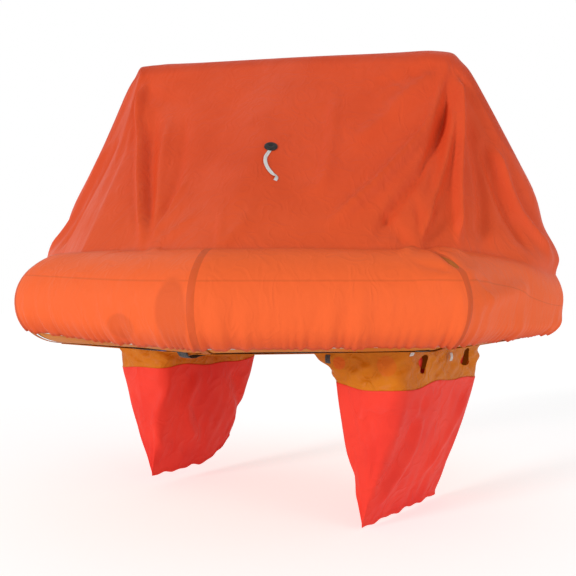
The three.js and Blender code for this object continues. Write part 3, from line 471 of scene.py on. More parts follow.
def weave_group() -> bpy.types.NodeTree:
    """A plain weave: the product of two rows of sine threads at right angles."""
    tree, n, start, end, fresh = group(
        "plain_weave", {"Vector": (VECTOR, None), "Threads": (FLOAT, 900.0)}, {"Height": FLOAT})
    if fresh:
        axes = n.add("ShaderNodeSeparateXYZ", {0: start.outputs["Vector"]})
        turn = n.math("MULTIPLY", start.outputs["Threads"], 2 * math.pi)
        warp = n.math("SINE", n.math("MULTIPLY", axes.outputs[0], turn))
        slanted = n.math("ADD", axes.outputs[1], n.math("MULTIPLY", axes.outputs[2], 0.9))
        weft = n.math("SINE", n.math("MULTIPLY", slanted, turn))
        crossed = n.math("MULTIPLY", warp, weft)
        n.tree.links.new(n.math("MULTIPLY_ADD", crossed, 0.5, 0.5), end.inputs["Height"])
    return tree


def soil_group() -> bpy.types.NodeTree:
    """Handling marks and dust: two noises, one within the other."""
    tree, n, start, end, fresh = group(
        "handling_marks", {"Vector": (VECTOR, None), "Scale": (FLOAT, 3.0)},
        {"Mask": FLOAT, "Specks": FLOAT})
    if fresh:
        vector, scale = start.outputs["Vector"], start.outputs["Scale"]
        wide = n.noise(vector, scale, 4.0, 0.6)
        near = n.noise(vector, n.math("MULTIPLY", scale, 14.0), 3.0, 0.7)
        n.tree.links.new(n.ramp(wide, 0.38, 0.68), end.inputs["Mask"])
        n.tree.links.new(n.ramp(near, 0.56, 0.7), end.inputs["Specks"])
    return tree


def joint_group() -> bpy.types.NodeTree:
    """A band over every mitred joint of the ring.

    With the heading h folded to the nearest corner and r the distance from the raft's axis, the
    distance from the mitre's plane is |r sin h|. The band is where that is below its half width.
    """
    tree, n, start, end, fresh = group(
        "joint_bands", {"Vector": (VECTOR, None), "Half width": (FLOAT, 0.014)}, {"Mask": FLOAT})
    if fresh:
        axes = n.add("ShaderNodeSeparateXYZ", {0: start.outputs["Vector"]})
        heading = n.math("ARCTAN2", axes.outputs[1], axes.outputs[0])
        folded = n.math("WRAP", heading, HALF_CORNER, -HALF_CORNER)
        level = n.add("ShaderNodeCombineXYZ", {0: axes.outputs[0], 1: axes.outputs[1]})
        reach = n.vector("LENGTH", level.outputs[0]).outputs["Value"]
        off = n.math("ABSOLUTE", n.math("MULTIPLY", reach, n.math("SINE", folded)))
        edge = n.math("DIVIDE", off, start.outputs["Half width"])
        n.tree.links.new(n.ramp(edge, 1.12, 0.9), end.inputs["Mask"])
    return tree


@dataclass(frozen=True)
class Finish:
    """A finish that is made into one material, kept under its name."""

    name: str
    colour: tuple[float, float, float]
    second: tuple[float, float, float]
    roughness: float = 0.5

    def material(self) -> bpy.types.Material:
        """The finish's material, made once; the plain names belong to the CAD's materials."""
        label = f"{self.name}_dressed"
        if label in bpy.data.materials:
            return bpy.data.materials[label]
        made = bpy.data.materials.new(label)
        made.use_nodes = True
        n = Nodes(made.node_tree)
        shader = made.node_tree.nodes["Principled BSDF"]
        self.dress(n, shader)
        return made

    def object_place(self, n: Nodes) -> bpy.types.NodeSocket:
        """The Object coordinates."""
        return n.add("ShaderNodeTexCoord").outputs["Object"]

    def use(self, n: Nodes, tree: bpy.types.NodeTree, **inputs: object) -> bpy.types.Node:
        """A shared group placed in this material."""
        named = {name.replace("_", " "): value for name, value in inputs.items()}
        return n.add("ShaderNodeGroup", named, node_tree=tree)

    def tone(self, n: Nodes, shader: bpy.types.Node, share: object) -> None:
        """The base colour: the finish's two colours mixed by a share."""
        n.tree.links.new(n.blend(share, linear(*self.colour), linear(*self.second)),
                         shader.inputs["Base Color"])

    def roughen(self, n: Nodes, shader: bpy.types.Node, mask: object, less: float, more: float) -> None:
        """The roughness, from less than the finish's own to more, as a mask goes from 0 to 1."""
        n.tree.links.new(n.ramp(mask, 0.0, 1.0, self.roughness - less, self.roughness + more),
                         shader.inputs["Roughness"])

    def raise_by(self, n: Nodes, shader: bpy.types.Node,
                 heights: Sequence[tuple[object, float]]) -> None:
        """Bumps chained on the shader's normal, as (height, distance in metres) pairs."""
        normal = None
        for height, distance in heights:
            inputs = {"Height": height, "Distance": distance, "Strength": 1.0}
            if normal is not None:
                inputs["Normal"] = normal
            normal = n.add("ShaderNodeBump", inputs).outputs[0]
        n.tree.links.new(normal, shader.inputs["Normal"])

    def dress(self, n: Nodes, shader: bpy.types.Node) -> None:
        """Writes the finish's nodes; each kind of finish has its own."""
        raise NotImplementedError


@dataclass(frozen=True)
class ClothFinish(Finish):
    """Thin coated cloth with creases, a fine weave and light soiling."""

    crease_scale: float = 9.0
    crease_depth: float = 0.004
    sharpness: float = 0.5
    stretch: tuple[float, float, float] = (1.0, 1.0, 1.0)
    glow: float = 0.0

    def base(self, n: Nodes, here: bpy.types.NodeSocket, marks: bpy.types.Node,
             creases: bpy.types.Node) -> bpy.types.NodeSocket:
        """The cloth's colour, which drifts between its two shades."""
        drift = n.math("MULTIPLY_ADD", marks.outputs["Mask"], 0.55, n.math(
            "MULTIPLY", creases.outputs["Mask"], 0.35))
        return n.blend(drift, linear(*self.colour), linear(*self.second))

    def dress(self, n: Nodes, shader: bpy.types.Node) -> None:
        """Creases, weave and marks on satin cloth."""
        here = self.object_place(n)
        stretched = n.vector("MULTIPLY", here, self.stretch).outputs[0]
        creases = self.use(n, crumple_group(), Vector=stretched, Scale=self.crease_scale,
                           Sharpness=self.sharpness)
        weave = self.use(n, weave_group(), Vector=here, Threads=420.0)
        marks = self.use(n, soil_group(), Vector=here, Scale=2.6)
        n.tree.links.new(self.base(n, here, marks, creases), shader.inputs["Base Color"])
        self.roughen(n, shader, marks.outputs["Mask"], 0.05, 0.07)
        if self.glow:
            # thin cloth passes on the light that falls on its other side
            colour = shader.inputs["Base Color"].links[0].from_socket
            n.tree.links.new(colour, shader.inputs["Emission Color"])
            shader.inputs["Emission Strength"].default_value = self.glow
        shader.inputs["Specular IOR Level"].default_value = 0.12
        self.raise_by(n, shader, [(creases.outputs["Height"], self.crease_depth),
                                  (weave.outputs["Height"], 0.00012)])


@dataclass(frozen=True)
class Patch:
    """A patch seen through the cloth: an ellipsoid in the raft's frame."""

    centre: tuple[float, float, float]
    reach: tuple[float, float, float]
    strength: float

    def mask(self, n: Nodes, here: bpy.types.NodeSocket, edge: float, core: float) -> bpy.types.NodeSocket:
        """Its strength inside core times its size, fading to nothing at edge times its size."""
        away = n.vector("SUBTRACT", here, self.centre).outputs[0]
        share = n.vector("LENGTH", n.vector("DIVIDE", away, self.reach).outputs[0]).outputs["Value"]
        return n.math("MULTIPLY", n.ramp(share, edge, core), self.strength)


@dataclass(frozen=True)
class CanopyFinish(ClothFinish):
    """Canopy cloth: lighter where the yellow tube lies behind it, with its joints showing through."""

    backed: tuple[float, float, float] = (246, 104, 50)
    shaded: tuple[float, float, float] = (150, 58, 34)
    # edge: the darker colour of the band over the arch's wrap and of the painted shade in the hem's gathers
    edge: tuple[float, float, float] = (186, 62, 36)
    seam_down: float = 1.0
    patches: tuple[Patch, ...] = ()

    def base(self, n: Nodes, here: bpy.types.NodeSocket, marks: bpy.types.Node,
             creases: bpy.types.Node) -> bpy.types.NodeSocket:
        """The cloth's colour with what shows through it, a darker band over the arch's wrap, and painted
        shade in the hem's gathers.
        """
        plain = super().base(n, here, marks, creases)
        backing = n.add("ShaderNodeAttribute", attribute_name="backing").outputs["Fac"]
        colour = n.blend(backing, plain, linear(*self.backed))
        # painted shade in the hem's gathers, and a darker band over the arch's wrap, both mixed in with the
        # edge colour
        arch_band_and_hem_shade = n.add("ShaderNodeAttribute", attribute_name="arch_band_and_hem_shade").outputs["Fac"]
        colour = n.blend(n.math("MULTIPLY", arch_band_and_hem_shade, 0.55), colour, linear(*self.edge))
        bands = self.use(n, joint_group(), Vector=here, Half_width=0.0118).outputs["Mask"]
        on_tube = n.ramp(backing, 0.45, 0.9)
        shadow = n.math("MULTIPLY", n.math("MULTIPLY", bands, on_tube), 0.36)
        for patch in self.patches:
            shadow = n.math("MAXIMUM", shadow, patch.mask(n, here, 1.12, 0.82))
        down = n.add("ShaderNodeSeparateXYZ", {0: n.add(
            "ShaderNodeUVMap", uv_map="cloth_metres").outputs[0]}).outputs[1]
        off_seam = n.math("ABSOLUTE", n.math("SUBTRACT", down, self.seam_down))
        seam = n.math("MULTIPLY", n.ramp(off_seam, 0.0045, 0.002), 0.16)
        return n.blend(n.math("MAXIMUM", shadow, seam), colour, linear(*self.shaded))


@dataclass(frozen=True)
class CollarFinish(ClothFinish):
    """Collar cloth, thin enough for two red round patches on its inside to tint it."""

    tint: tuple[float, float, float] = (214, 78, 26)
    spots: tuple[Patch, ...] = (Patch((0.319, -0.505, -0.060), (0.023, 0.06, 0.023), 0.55),
                                Patch((0.492, -0.560, -0.060), (0.036, 0.05, 0.036), 0.3))

    def base(self, n: Nodes, here: bpy.types.NodeSocket, marks: bpy.types.Node,
             creases: bpy.types.Node) -> bpy.types.NodeSocket:
        """The cloth's colour with its two tinted spots."""
        colour = super().base(n, here, marks, creases)
        for spot in self.spots:
            colour = n.blend(spot.mask(n, here, 1.08, 0.92), colour, linear(*self.tint))
        return colour


@dataclass(frozen=True)
class WebbingFinish(Finish):
    """Woven webbing: slanting ribs along it."""

    width: float = 0.025

    def dress(self, n: Nodes, shader: bpy.types.Node) -> None:
        """Ribs on the webbing's own flat coordinates, with handling marks."""
        here = self.object_place(n)
        metres = n.add("ShaderNodeUVMap", uv_map="cloth_metres").outputs[0]
        flat = n.add("ShaderNodeSeparateXYZ", {0: metres})
        across, along = flat.outputs[0], flat.outputs[1]
        rib = n.math("SINE", n.math("MULTIPLY", n.math("ADD", along, n.math(
            "PINGPONG", across, self.width / 6)), 2 * math.pi / 0.0022))
        marks = self.use(n, soil_group(), Vector=here, Scale=9.0)
        worn = n.math("MULTIPLY_ADD", marks.outputs["Mask"], 0.4, 0.25)
        self.tone(n, shader, n.math("MULTIPLY_ADD", rib, 0.18, worn))
        shader.inputs["Roughness"].default_value = self.roughness
        shader.inputs["Sheen Weight"].default_value = 0.25
        shader.inputs["Specular IOR Level"].default_value = 0.3
        self.raise_by(n, shader, [(rib, 0.0004), (marks.outputs["Specks"], 0.0002)])


@dataclass(frozen=True)
class MouldedFinish(Finish):
    """Moulded plastic or rubber: fine grain, and a paler bloom where it is handled."""

    grain: float = 0.00012

    def dress(self, n: Nodes, shader: bpy.types.Node) -> None:
        """Grain and bloom on a moulded surface."""
        here = self.object_place(n)
        marks = self.use(n, soil_group(), Vector=here, Scale=18.0)
        grain = n.noise(here, 900.0, 2.0)
        self.tone(n, shader, n.math("MULTIPLY", marks.outputs["Mask"], 0.5))
        self.roughen(n, shader, marks.outputs["Mask"], 0.06, 0.08)
        shader.inputs["Specular IOR Level"].default_value = 0.3
        self.raise_by(n, shader, [(grain, self.grain), (marks.outputs["Specks"], 0.00015)])


@dataclass(frozen=True)
class MetalFinish(Finish):
    """Machined or painted metal with faint scuffs."""

    metallic: float = 1.0
    coat: float = 0.0

    def dress(self, n: Nodes, shader: bpy.types.Node) -> None:
        """Scuffs and slight orange peel on metal."""
        here = self.object_place(n)
        marks = self.use(n, soil_group(), Vector=here, Scale=12.0)
        peel = n.noise(here, 260.0, 1.0)
        self.tone(n, shader, n.math("MULTIPLY", marks.outputs["Mask"], 0.6))
        self.roughen(n, shader, marks.outputs["Mask"], 0.0, 0.12)
        shader.inputs["Metallic"].default_value = self.metallic
        shader.inputs["Coat Weight"].default_value = self.coat
        shader.inputs["Coat Roughness"].default_value = 0.2
        self.raise_by(n, shader, [(peel, 0.00008), (marks.outputs["Specks"], 0.00012)])


TUBE_FABRIC = ClothFinish("tube_fabric", (214, 128, 38), (200, 112, 30), 0.5, crease_scale=5.0,
                          crease_depth=0.0015, sharpness=0.2)
TAPE_FABRIC = ClothFinish("joint_tape_fabric", (188, 100, 30), (184, 98, 26), 0.48, crease_scale=14.0,
                          crease_depth=0.0008, sharpness=0.2)
FLOOR_FABRIC = ClothFinish("floor_fabric", (206, 120, 36), (188, 104, 28), 0.55, crease_scale=6.0,
                           crease_depth=0.005, sharpness=0.4)
COLLAR_CLOTH = CollarFinish("collar_cloth", (204, 118, 22), (176, 88, 14), 0.45, crease_scale=6.0,
                            crease_depth=0.008, sharpness=0.5, glow=0.10)
BAG_CLOTH = ClothFinish("bag_cloth", (240, 66, 50), (224, 50, 42), 0.5, crease_scale=3.2,
                        crease_depth=0.010, sharpness=0.35, glow=0.03)
FLAP_CLOTH = ClothFinish("rolled_canopy_cloth", (222, 84, 46), (206, 72, 38), 0.52, crease_scale=10.0,
                         crease_depth=0.004, sharpness=0.6, stretch=(0.4, 1.0, 1.0))
BLACK_WEBBING = WebbingFinish("black_webbing", (22, 22, 24), (52, 52, 54), 0.7)
GREY_WEBBING = WebbingFinish("grey_webbing", (62, 64, 68), (92, 94, 98), 0.7)
WHITE_WEBBING = WebbingFinish("white_webbing", (226, 224, 220), (244, 243, 240), 0.7)
BLUE_WEBBING = WebbingFinish("blue_tag", (28, 60, 140), (52, 92, 178), 0.6)
BLACK_RUBBER = MouldedFinish("black_rubber", (12, 12, 13), (28, 28, 30), 0.5)
VALVE_PLASTIC = MouldedFinish("valve_plastic", (224, 160, 34), (206, 142, 30), 0.42)
CYLINDER_PAINT = MetalFinish("cylinder_paint", (124, 130, 134), (104, 110, 114), 0.38, metallic=0.0, coat=0.3)
BRASS = MetalFinish("machined_brass", (196, 158, 88), (168, 130, 70), 0.28)


@dataclass
class Ring:
    """The buoyancy tube: an octagon of round tube, its joint tapes and the floor."""

    corner_radius: float = 0.933
    tube_radius: float = 0.150
    height: float = 0.1561
    tape_width: float = 0.030
    tape_lift: float = 0.0003
    tape_thickness: float = 0.0015
    floor_thickness: float = 0.004
    floor_lap: float = 0.004
    arch_patch_radius: float = 0.128
    rows_per_side: int = 48
    columns: int = 64

    @property
    def apothem(self) -> float:
        """Distance from the raft's axis to the middle of a side."""
        return self.corner_radius * math.cos(HALF_CORNER)

    @property
    def side_length(self) -> float:
        """Length of a side of the centre line."""
        return 2 * self.corner_radius * math.sin(HALF_CORNER)

    def point(self, lap: Grid, degrees: Grid, radius: Grid) -> Grid:
        """Points round the tube.

        On a side with outward normal n and direction d, at share s along it, the point is
        centre + n r cos(a) + d r cos(a) tan(22.5) (2s - 1) + up r sin(a), so that the sections
        fan out to meet in the mitres.

        Args:
            lap: place round the ring.
            degrees: angle round the tube, 0 facing out and 90 on top.
            radius: distance from the tube's centre line.

        Returns:
            The points.
        """
        lap, degrees, radius = np.broadcast_arrays(np.asarray(lap, float), degrees, radius)
        side = np.floor(lap + 1e-9)
        share = (lap - side)[..., None]
        heading = [-(side + step) * 2 * HALF_CORNER for step in (0, 1, 0.5)]
        start, end, normal = (np.stack([np.cos(h), np.sin(h)], -1) for h in heading)
        centre = self.corner_radius * (start + (end - start) * share)
        along = (end - start) / (2 * math.sin(HALF_CORNER))
        out = (radius * np.cos(np.radians(degrees)))[..., None]
        level = centre + normal * out + along * out * math.tan(HALF_CORNER) * (2 * share - 1)
        rise = (self.height + radius * np.sin(np.radians(degrees)))[..., None]
        return np.concatenate([level, rise], -1)

    def facing(self, lap: float, degrees: float) -> Grid:
        """The way out of the tube on a lap's side, at an angle round the tube."""
        heading = -(math.floor(lap) + 0.5) * 2 * HALF_CORNER
        angle = math.radians(degrees)
        return np.array([math.cos(heading) * math.cos(angle), math.sin(heading) * math.cos(angle),
                         math.sin(angle)])

    def build_tube(self) -> None:
        """The tube: a circle carried round the octagon, its corners eased by a short average."""
        rows = RING_SIDES * self.rows_per_side
        laps = np.linspace(0, RING_SIDES, rows, endpoint=False)
        degrees = np.linspace(0, 360, self.columns, endpoint=False)
        swell = 0.0016 * ripple(3, laps[:, None], degrees / 360, 5, 1, 3)
        points = self.point(laps[:, None], degrees[None], self.tube_radius - 0.001 + swell)
        points = eased(points, 3, axis=0)
        points = np.concatenate([points, points[:1]])
        girth = np.linspace(0, 2 * math.pi * self.tube_radius, self.columns + 1)
        length = np.linspace(0, RING_SIDES * self.side_length, rows + 1)
        shell = Shell(points, True, np.stack(np.meshgrid(girth, length), -1))
        faces = shell.quads() % (rows * self.columns)
        tube = new_object("Buoyancy_Tube", points[:-1], faces, shell.corner_metres())
        place(tube, TUBE_FABRIC, "tube_fabric", ["buoyancy_tube"])

    def build_tape(self, corner: int) -> None:
        """The tape over one joint: a band of the tube's own surface, a little larger."""
        half = self.tape_width / 2 / self.side_length
        laps = corner + np.linspace(-half, half, 9)
        degrees = np.linspace(0, 360, 96, endpoint=False)
        radius = self.tube_radius + self.tape_lift + self.tape_thickness
        points = self.point(np.mod(laps, 8)[None], degrees[:, None], radius)
        # the rows next to the mitre are drawn towards it, which takes off its sharp edge
        points[:, 3:6] = points[:, 4:5] * 0.15 + points[:, 3:6] * 0.85
        metres = np.stack(np.meshgrid(np.linspace(0, 0.94, 97), laps * self.side_length), -1)
        shell = Shell(points.transpose(1, 0, 2), True, metres)
        tape = new_object(f"Joint_Tape_{corner + 1}", shell.points, shell.quads(), shell.corner_metres(),
                          centre=self.point(np.array(corner + 0.0), 0.0, 0.0))
        give_wall(tape, self.tape_thickness)
        place(tape, TAPE_FABRIC, "tube_fabric", [f"joint_tape_{corner + 1}"])
        if corner % 4 == 0:
            self.build_arch_patch(corner)

    def build_arch_patch(self, corner: int) -> None:
        """The round patch under an arch's foot: a disc laid over the tube."""
        way = 1 if corner == 0 else -1
        share = np.linspace(0, 1, 14)[:, None]
        turn = np.linspace(0, 2 * math.pi, 64, endpoint=False)[None]
        across = self.arch_patch_radius * share * np.cos(turn)
        beside = self.arch_patch_radius * share * np.sin(turn)
        out = self.tube_radius + self.tape_lift + self.tape_thickness + 0.0022
        # distance from the tube's centre line, which bends back from the corner on both sides
        inward = across + np.abs(beside) * math.tan(HALF_CORNER)
        rise = np.sqrt(np.maximum(out**2 - (inward * math.cos(HALF_CORNER)) ** 2, 1e-6))
        points = np.stack([way * (self.corner_radius + across), beside, self.height + rise], -1)
        shell = Shell(points, True)
        patch = new_object(f"Arch_Patch_{1 if way > 0 else 2}", points, shell.quads(),
                           centre=np.array([way * self.corner_radius, 0, self.height]))
        give_wall(patch, 0.0012)
        place(patch, TAPE_FABRIC, "tube_fabric")

    def build_floor(self) -> None:
        """The floor: an octagon of coated cloth that sags a little between the tubes.

        A point at share s of the way to the edge, on heading h, lies at s times the octagon's
        reach on that heading, with a swell of s (1 - s) added to its height.
        """
        turn = np.linspace(0, 2 * math.pi, 192, endpoint=False)
        folded = np.mod(turn, 2 * HALF_CORNER) - HALF_CORNER
        reach = (self.apothem + self.floor_lap) / np.cos(folded)
        share = np.linspace(0.004, 1, 60)[:, None]
        laps = -turn / (2 * HALF_CORNER)
        swell = 0.0012 * ripple(11, laps[None], share, 6, 1, 3) * share * (1 - share) * 4
        level = share[..., None] * np.stack([np.cos(turn), np.sin(turn)], -1) * reach[:, None]
        top = self.floor_thickness - 0.0012 + swell
        points = np.concatenate([level, np.broadcast_to(top[..., None], level.shape[:2] + (1,))], -1)
        shell = Shell(points, True)
        caps = [list(range(192))]
        floor = new_object("Floor", points, shell.quads(), None, caps, centre=np.array([0, 0, -2.0]))
        give_wall(floor, 0.0022)
        place(floor, FLOOR_FABRIC, "floor_fabric", ["floor"])

    def build(self) -> None:
        """Builds the ring's pieces."""
        self.build_tube()
        for corner in range(RING_SIDES):
            self.build_tape(corner)
        self.build_floor()


def eased(points: Grid, reach: int, axis: int) -> Grid:
    """A running average with weights that fall off either side, along a closed axis."""
    weights = np.exp(-0.5 * (np.arange(-2 * reach, 2 * reach + 1) / reach) ** 2)
    weights /= weights.sum()
    return sum(weight * np.roll(points, step, axis=axis)
               for weight, step in zip(weights, range(-2 * reach, 2 * reach + 1)))


@dataclass
class Arch:
    """The inflated arch that holds up the ridge."""

    ring: Ring
    radius: float = 0.090
    top_height: float = 1.043
    corner_x: float = 0.620
    knee_x: float = 0.902
    knee_height: float = 0.506
    corner_trim: float = 0.070
    knee_trim: float = 0.060
    right_shift: float = 0.015
    left_shift: float = 0.016
    leg_shift: float = 0.020
    ridge_rise: float = 0.010
    ridge_tilt: float = 0.008

    def bend(self, before: Grid, corner: Grid, after: Grid, trim: float, count: int) -> Grid:
        """A corner rounded by a quadratic curve: (1-t)^2 a + 2t(1-t) c + t^2 b."""
        start = corner + unit(before - corner) * trim
        end = corner + unit(after - corner) * trim
        t = np.linspace(0, 1, count)[:, None]
        return (1 - t) ** 2 * start + 2 * t * (1 - t) * corner + t**2 * end

    def half_line(self, count: int = 14) -> Grid:
        """The +X half of the centre line as (x, z) points from the tube's centre to the ridge."""
        foot = np.array([self.ring.corner_radius, self.ring.height])
        knee = np.array([self.knee_x, self.knee_height])
        corner = np.array([self.corner_x, self.top_height])
        top = np.array([0.0, self.top_height])
        return np.vstack([foot, self.bend(foot, knee, corner, self.knee_trim, count),
                          self.bend(knee, corner, top, self.corner_trim, count)])

    def centres(self, leaning: bool = False) -> Grid:
        """The whole centre line in space, plain or leaning."""
        half = self.half_line()
        right = np.stack([half[:, 0], 0 * half[:, 0], half[:, 1]], -1)
        whole = np.vstack([right, right[::-1] * [-1, 1, 1]])
        return self.leaning(whole) if leaning else whole

    def leaning(self, points: Grid) -> Grid:
        """Points moved as the photographed arch leans.

        The ridge moves to +X by a shift that grows with height, more on the -X side, the -X leg
        moves in by a bell of height, and the ridge is raised and tilted by a share of x.

        Args:
            points: points of the plain arch or the cloth over it.

        Returns:
            The moved points.
        """
        x, z = points[..., 0], points[..., 2]
        high = smooth((z - 0.35) / 0.6)
        moved = points.copy()
        moved[..., 0] += high * (self.right_shift + self.left_shift * np.clip(-x / 0.65, 0, 1))
        moved[..., 0] += smooth((-x - 0.45) / 0.3) * self.leg_shift * np.exp(-((z - 0.70) / 0.26) ** 2)
        moved[..., 2] += high * (self.ridge_rise * (1 - 0.6 * smooth(x / 0.65))
                                 - self.ridge_tilt * x / 0.65)
        return moved

    def push_out(self, points: Grid, radius: Grid, leaning: bool = False) -> Grid:
        """Points that would lie inside the arch, moved out to a distance from its centre line.

        Args:
            points: the points.
            radius: the least distance for each.
            leaning: whether the arch leans.

        Returns:
            The moved points.
        """
        line = self.centres(leaning)
        nearest = np.zeros_like(points)
        best = np.full(points.shape[:-1], np.inf)
        for start, end in zip(line[:-1], line[1:]):
            step = end - start
            length = step @ step
            if length < 1e-12:
                continue
            share = np.clip(((points - start) @ step) / length, 0, 1)
            here = start + share[..., None] * step
            distance = np.linalg.norm(points - here, axis=-1)
            closer = distance < best
            nearest = np.where(closer[..., None], here, nearest)
            best = np.where(closer, distance, best)
        moved = nearest + unit(points - nearest) * radius[..., None]
        return np.where((best < radius)[..., None], moved, points)

    def build(self) -> None:
        """The arch: a circle carried along its centre line, from one patch to the other."""
        half = self.half_line(20)
        start = np.array([self.ring.corner_radius - 0.008,
                          self.ring.height + self.ring.tube_radius + 0.006])
        half = np.vstack([start, half[1:]])
        dense = [half[0]]
        for point in half[1:]:
            steps = max(int(np.linalg.norm(point - dense[-1]) / 0.03), 1)
            dense.extend(dense[-1] + (point - dense[-1]) * (np.arange(1, steps + 1) / steps)[:, None])
        half = np.array(dense)
        right = np.stack([half[:, 0], 0 * half[:, 0], half[:, 1]], -1)
        path = self.leaning(np.vstack([right, right[::-1] * [-1, 1, 1]]))
        distance = np.concatenate([[0], np.cumsum(np.linalg.norm(np.diff(path, axis=0), axis=1))])
        pinch = 1 - 0.012 * np.sin(distance * 22) ** 2
        section = round_section(self.radius - 0.0005, 56)
        arch = sweep("Arch_Tube", path, section, np.array([0.0, 1, 0]), pinch)
        place(arch, TUBE_FABRIC, "tube_fabric", ["arch_tube"])


@dataclass(frozen=True)
class Crease:
    """A soft fold along a line drawn on the cloth.

    At distance x from the line the cloth moves out by
    depth (exp(-(x/w)^2) + lean (x/w) exp(-(x/w)^2)), faded at both ends of the line.
    """

    line: tuple[tuple[float, float], ...]
    depth: float
    width: float
    lean: float = 0.0
    fade: float = 0.25


def press_creases(points: Grid, normals: Grid, lines: Sequence[tuple[Grid, Crease]]) -> Grid:
    """How far each point moves along its normal for all creases together.

    Args:
        points: the grid of points.
        normals: their normals.
        lines: each crease with its line in space.

    Returns:
        The distances.
    """
    flat = points.reshape(-1, 3)
    side_of = normals.reshape(-1, 3)
    total = np.zeros(len(flat))
    for line, crease in lines:
        steps = np.diff(line, axis=0)
        lengths = np.linalg.norm(steps, axis=1)
        starts = np.concatenate([[0], np.cumsum(lengths)])
        best = np.full(len(flat), np.inf)
        signed = np.zeros(len(flat))
        place_on = np.zeros(len(flat))
        for index, (start, step, length) in enumerate(zip(line[:-1], steps, lengths)):
            share = np.clip(((flat - start) @ step) / length**2, 0, 1)
            away = flat - (start + share[:, None] * step)
            distance = np.linalg.norm(away, axis=1)
            closer = distance < best
            turn = np.einsum("ij,ij->i", np.cross(side_of, step / length), away)
            best = np.where(closer, distance, best)
            signed = np.where(closer, np.sign(turn) * distance, signed)
            place_on = np.where(closer, (starts[index] + share * length) / starts[-1], place_on)
        x = signed / crease.width
        ends = smooth(place_on / crease.fade) * smooth((1 - place_on) / crease.fade)
        total += crease.depth * np.exp(-x * x) * (1 + crease.lean * x) * ends
    return total.reshape(points.shape[:-1])


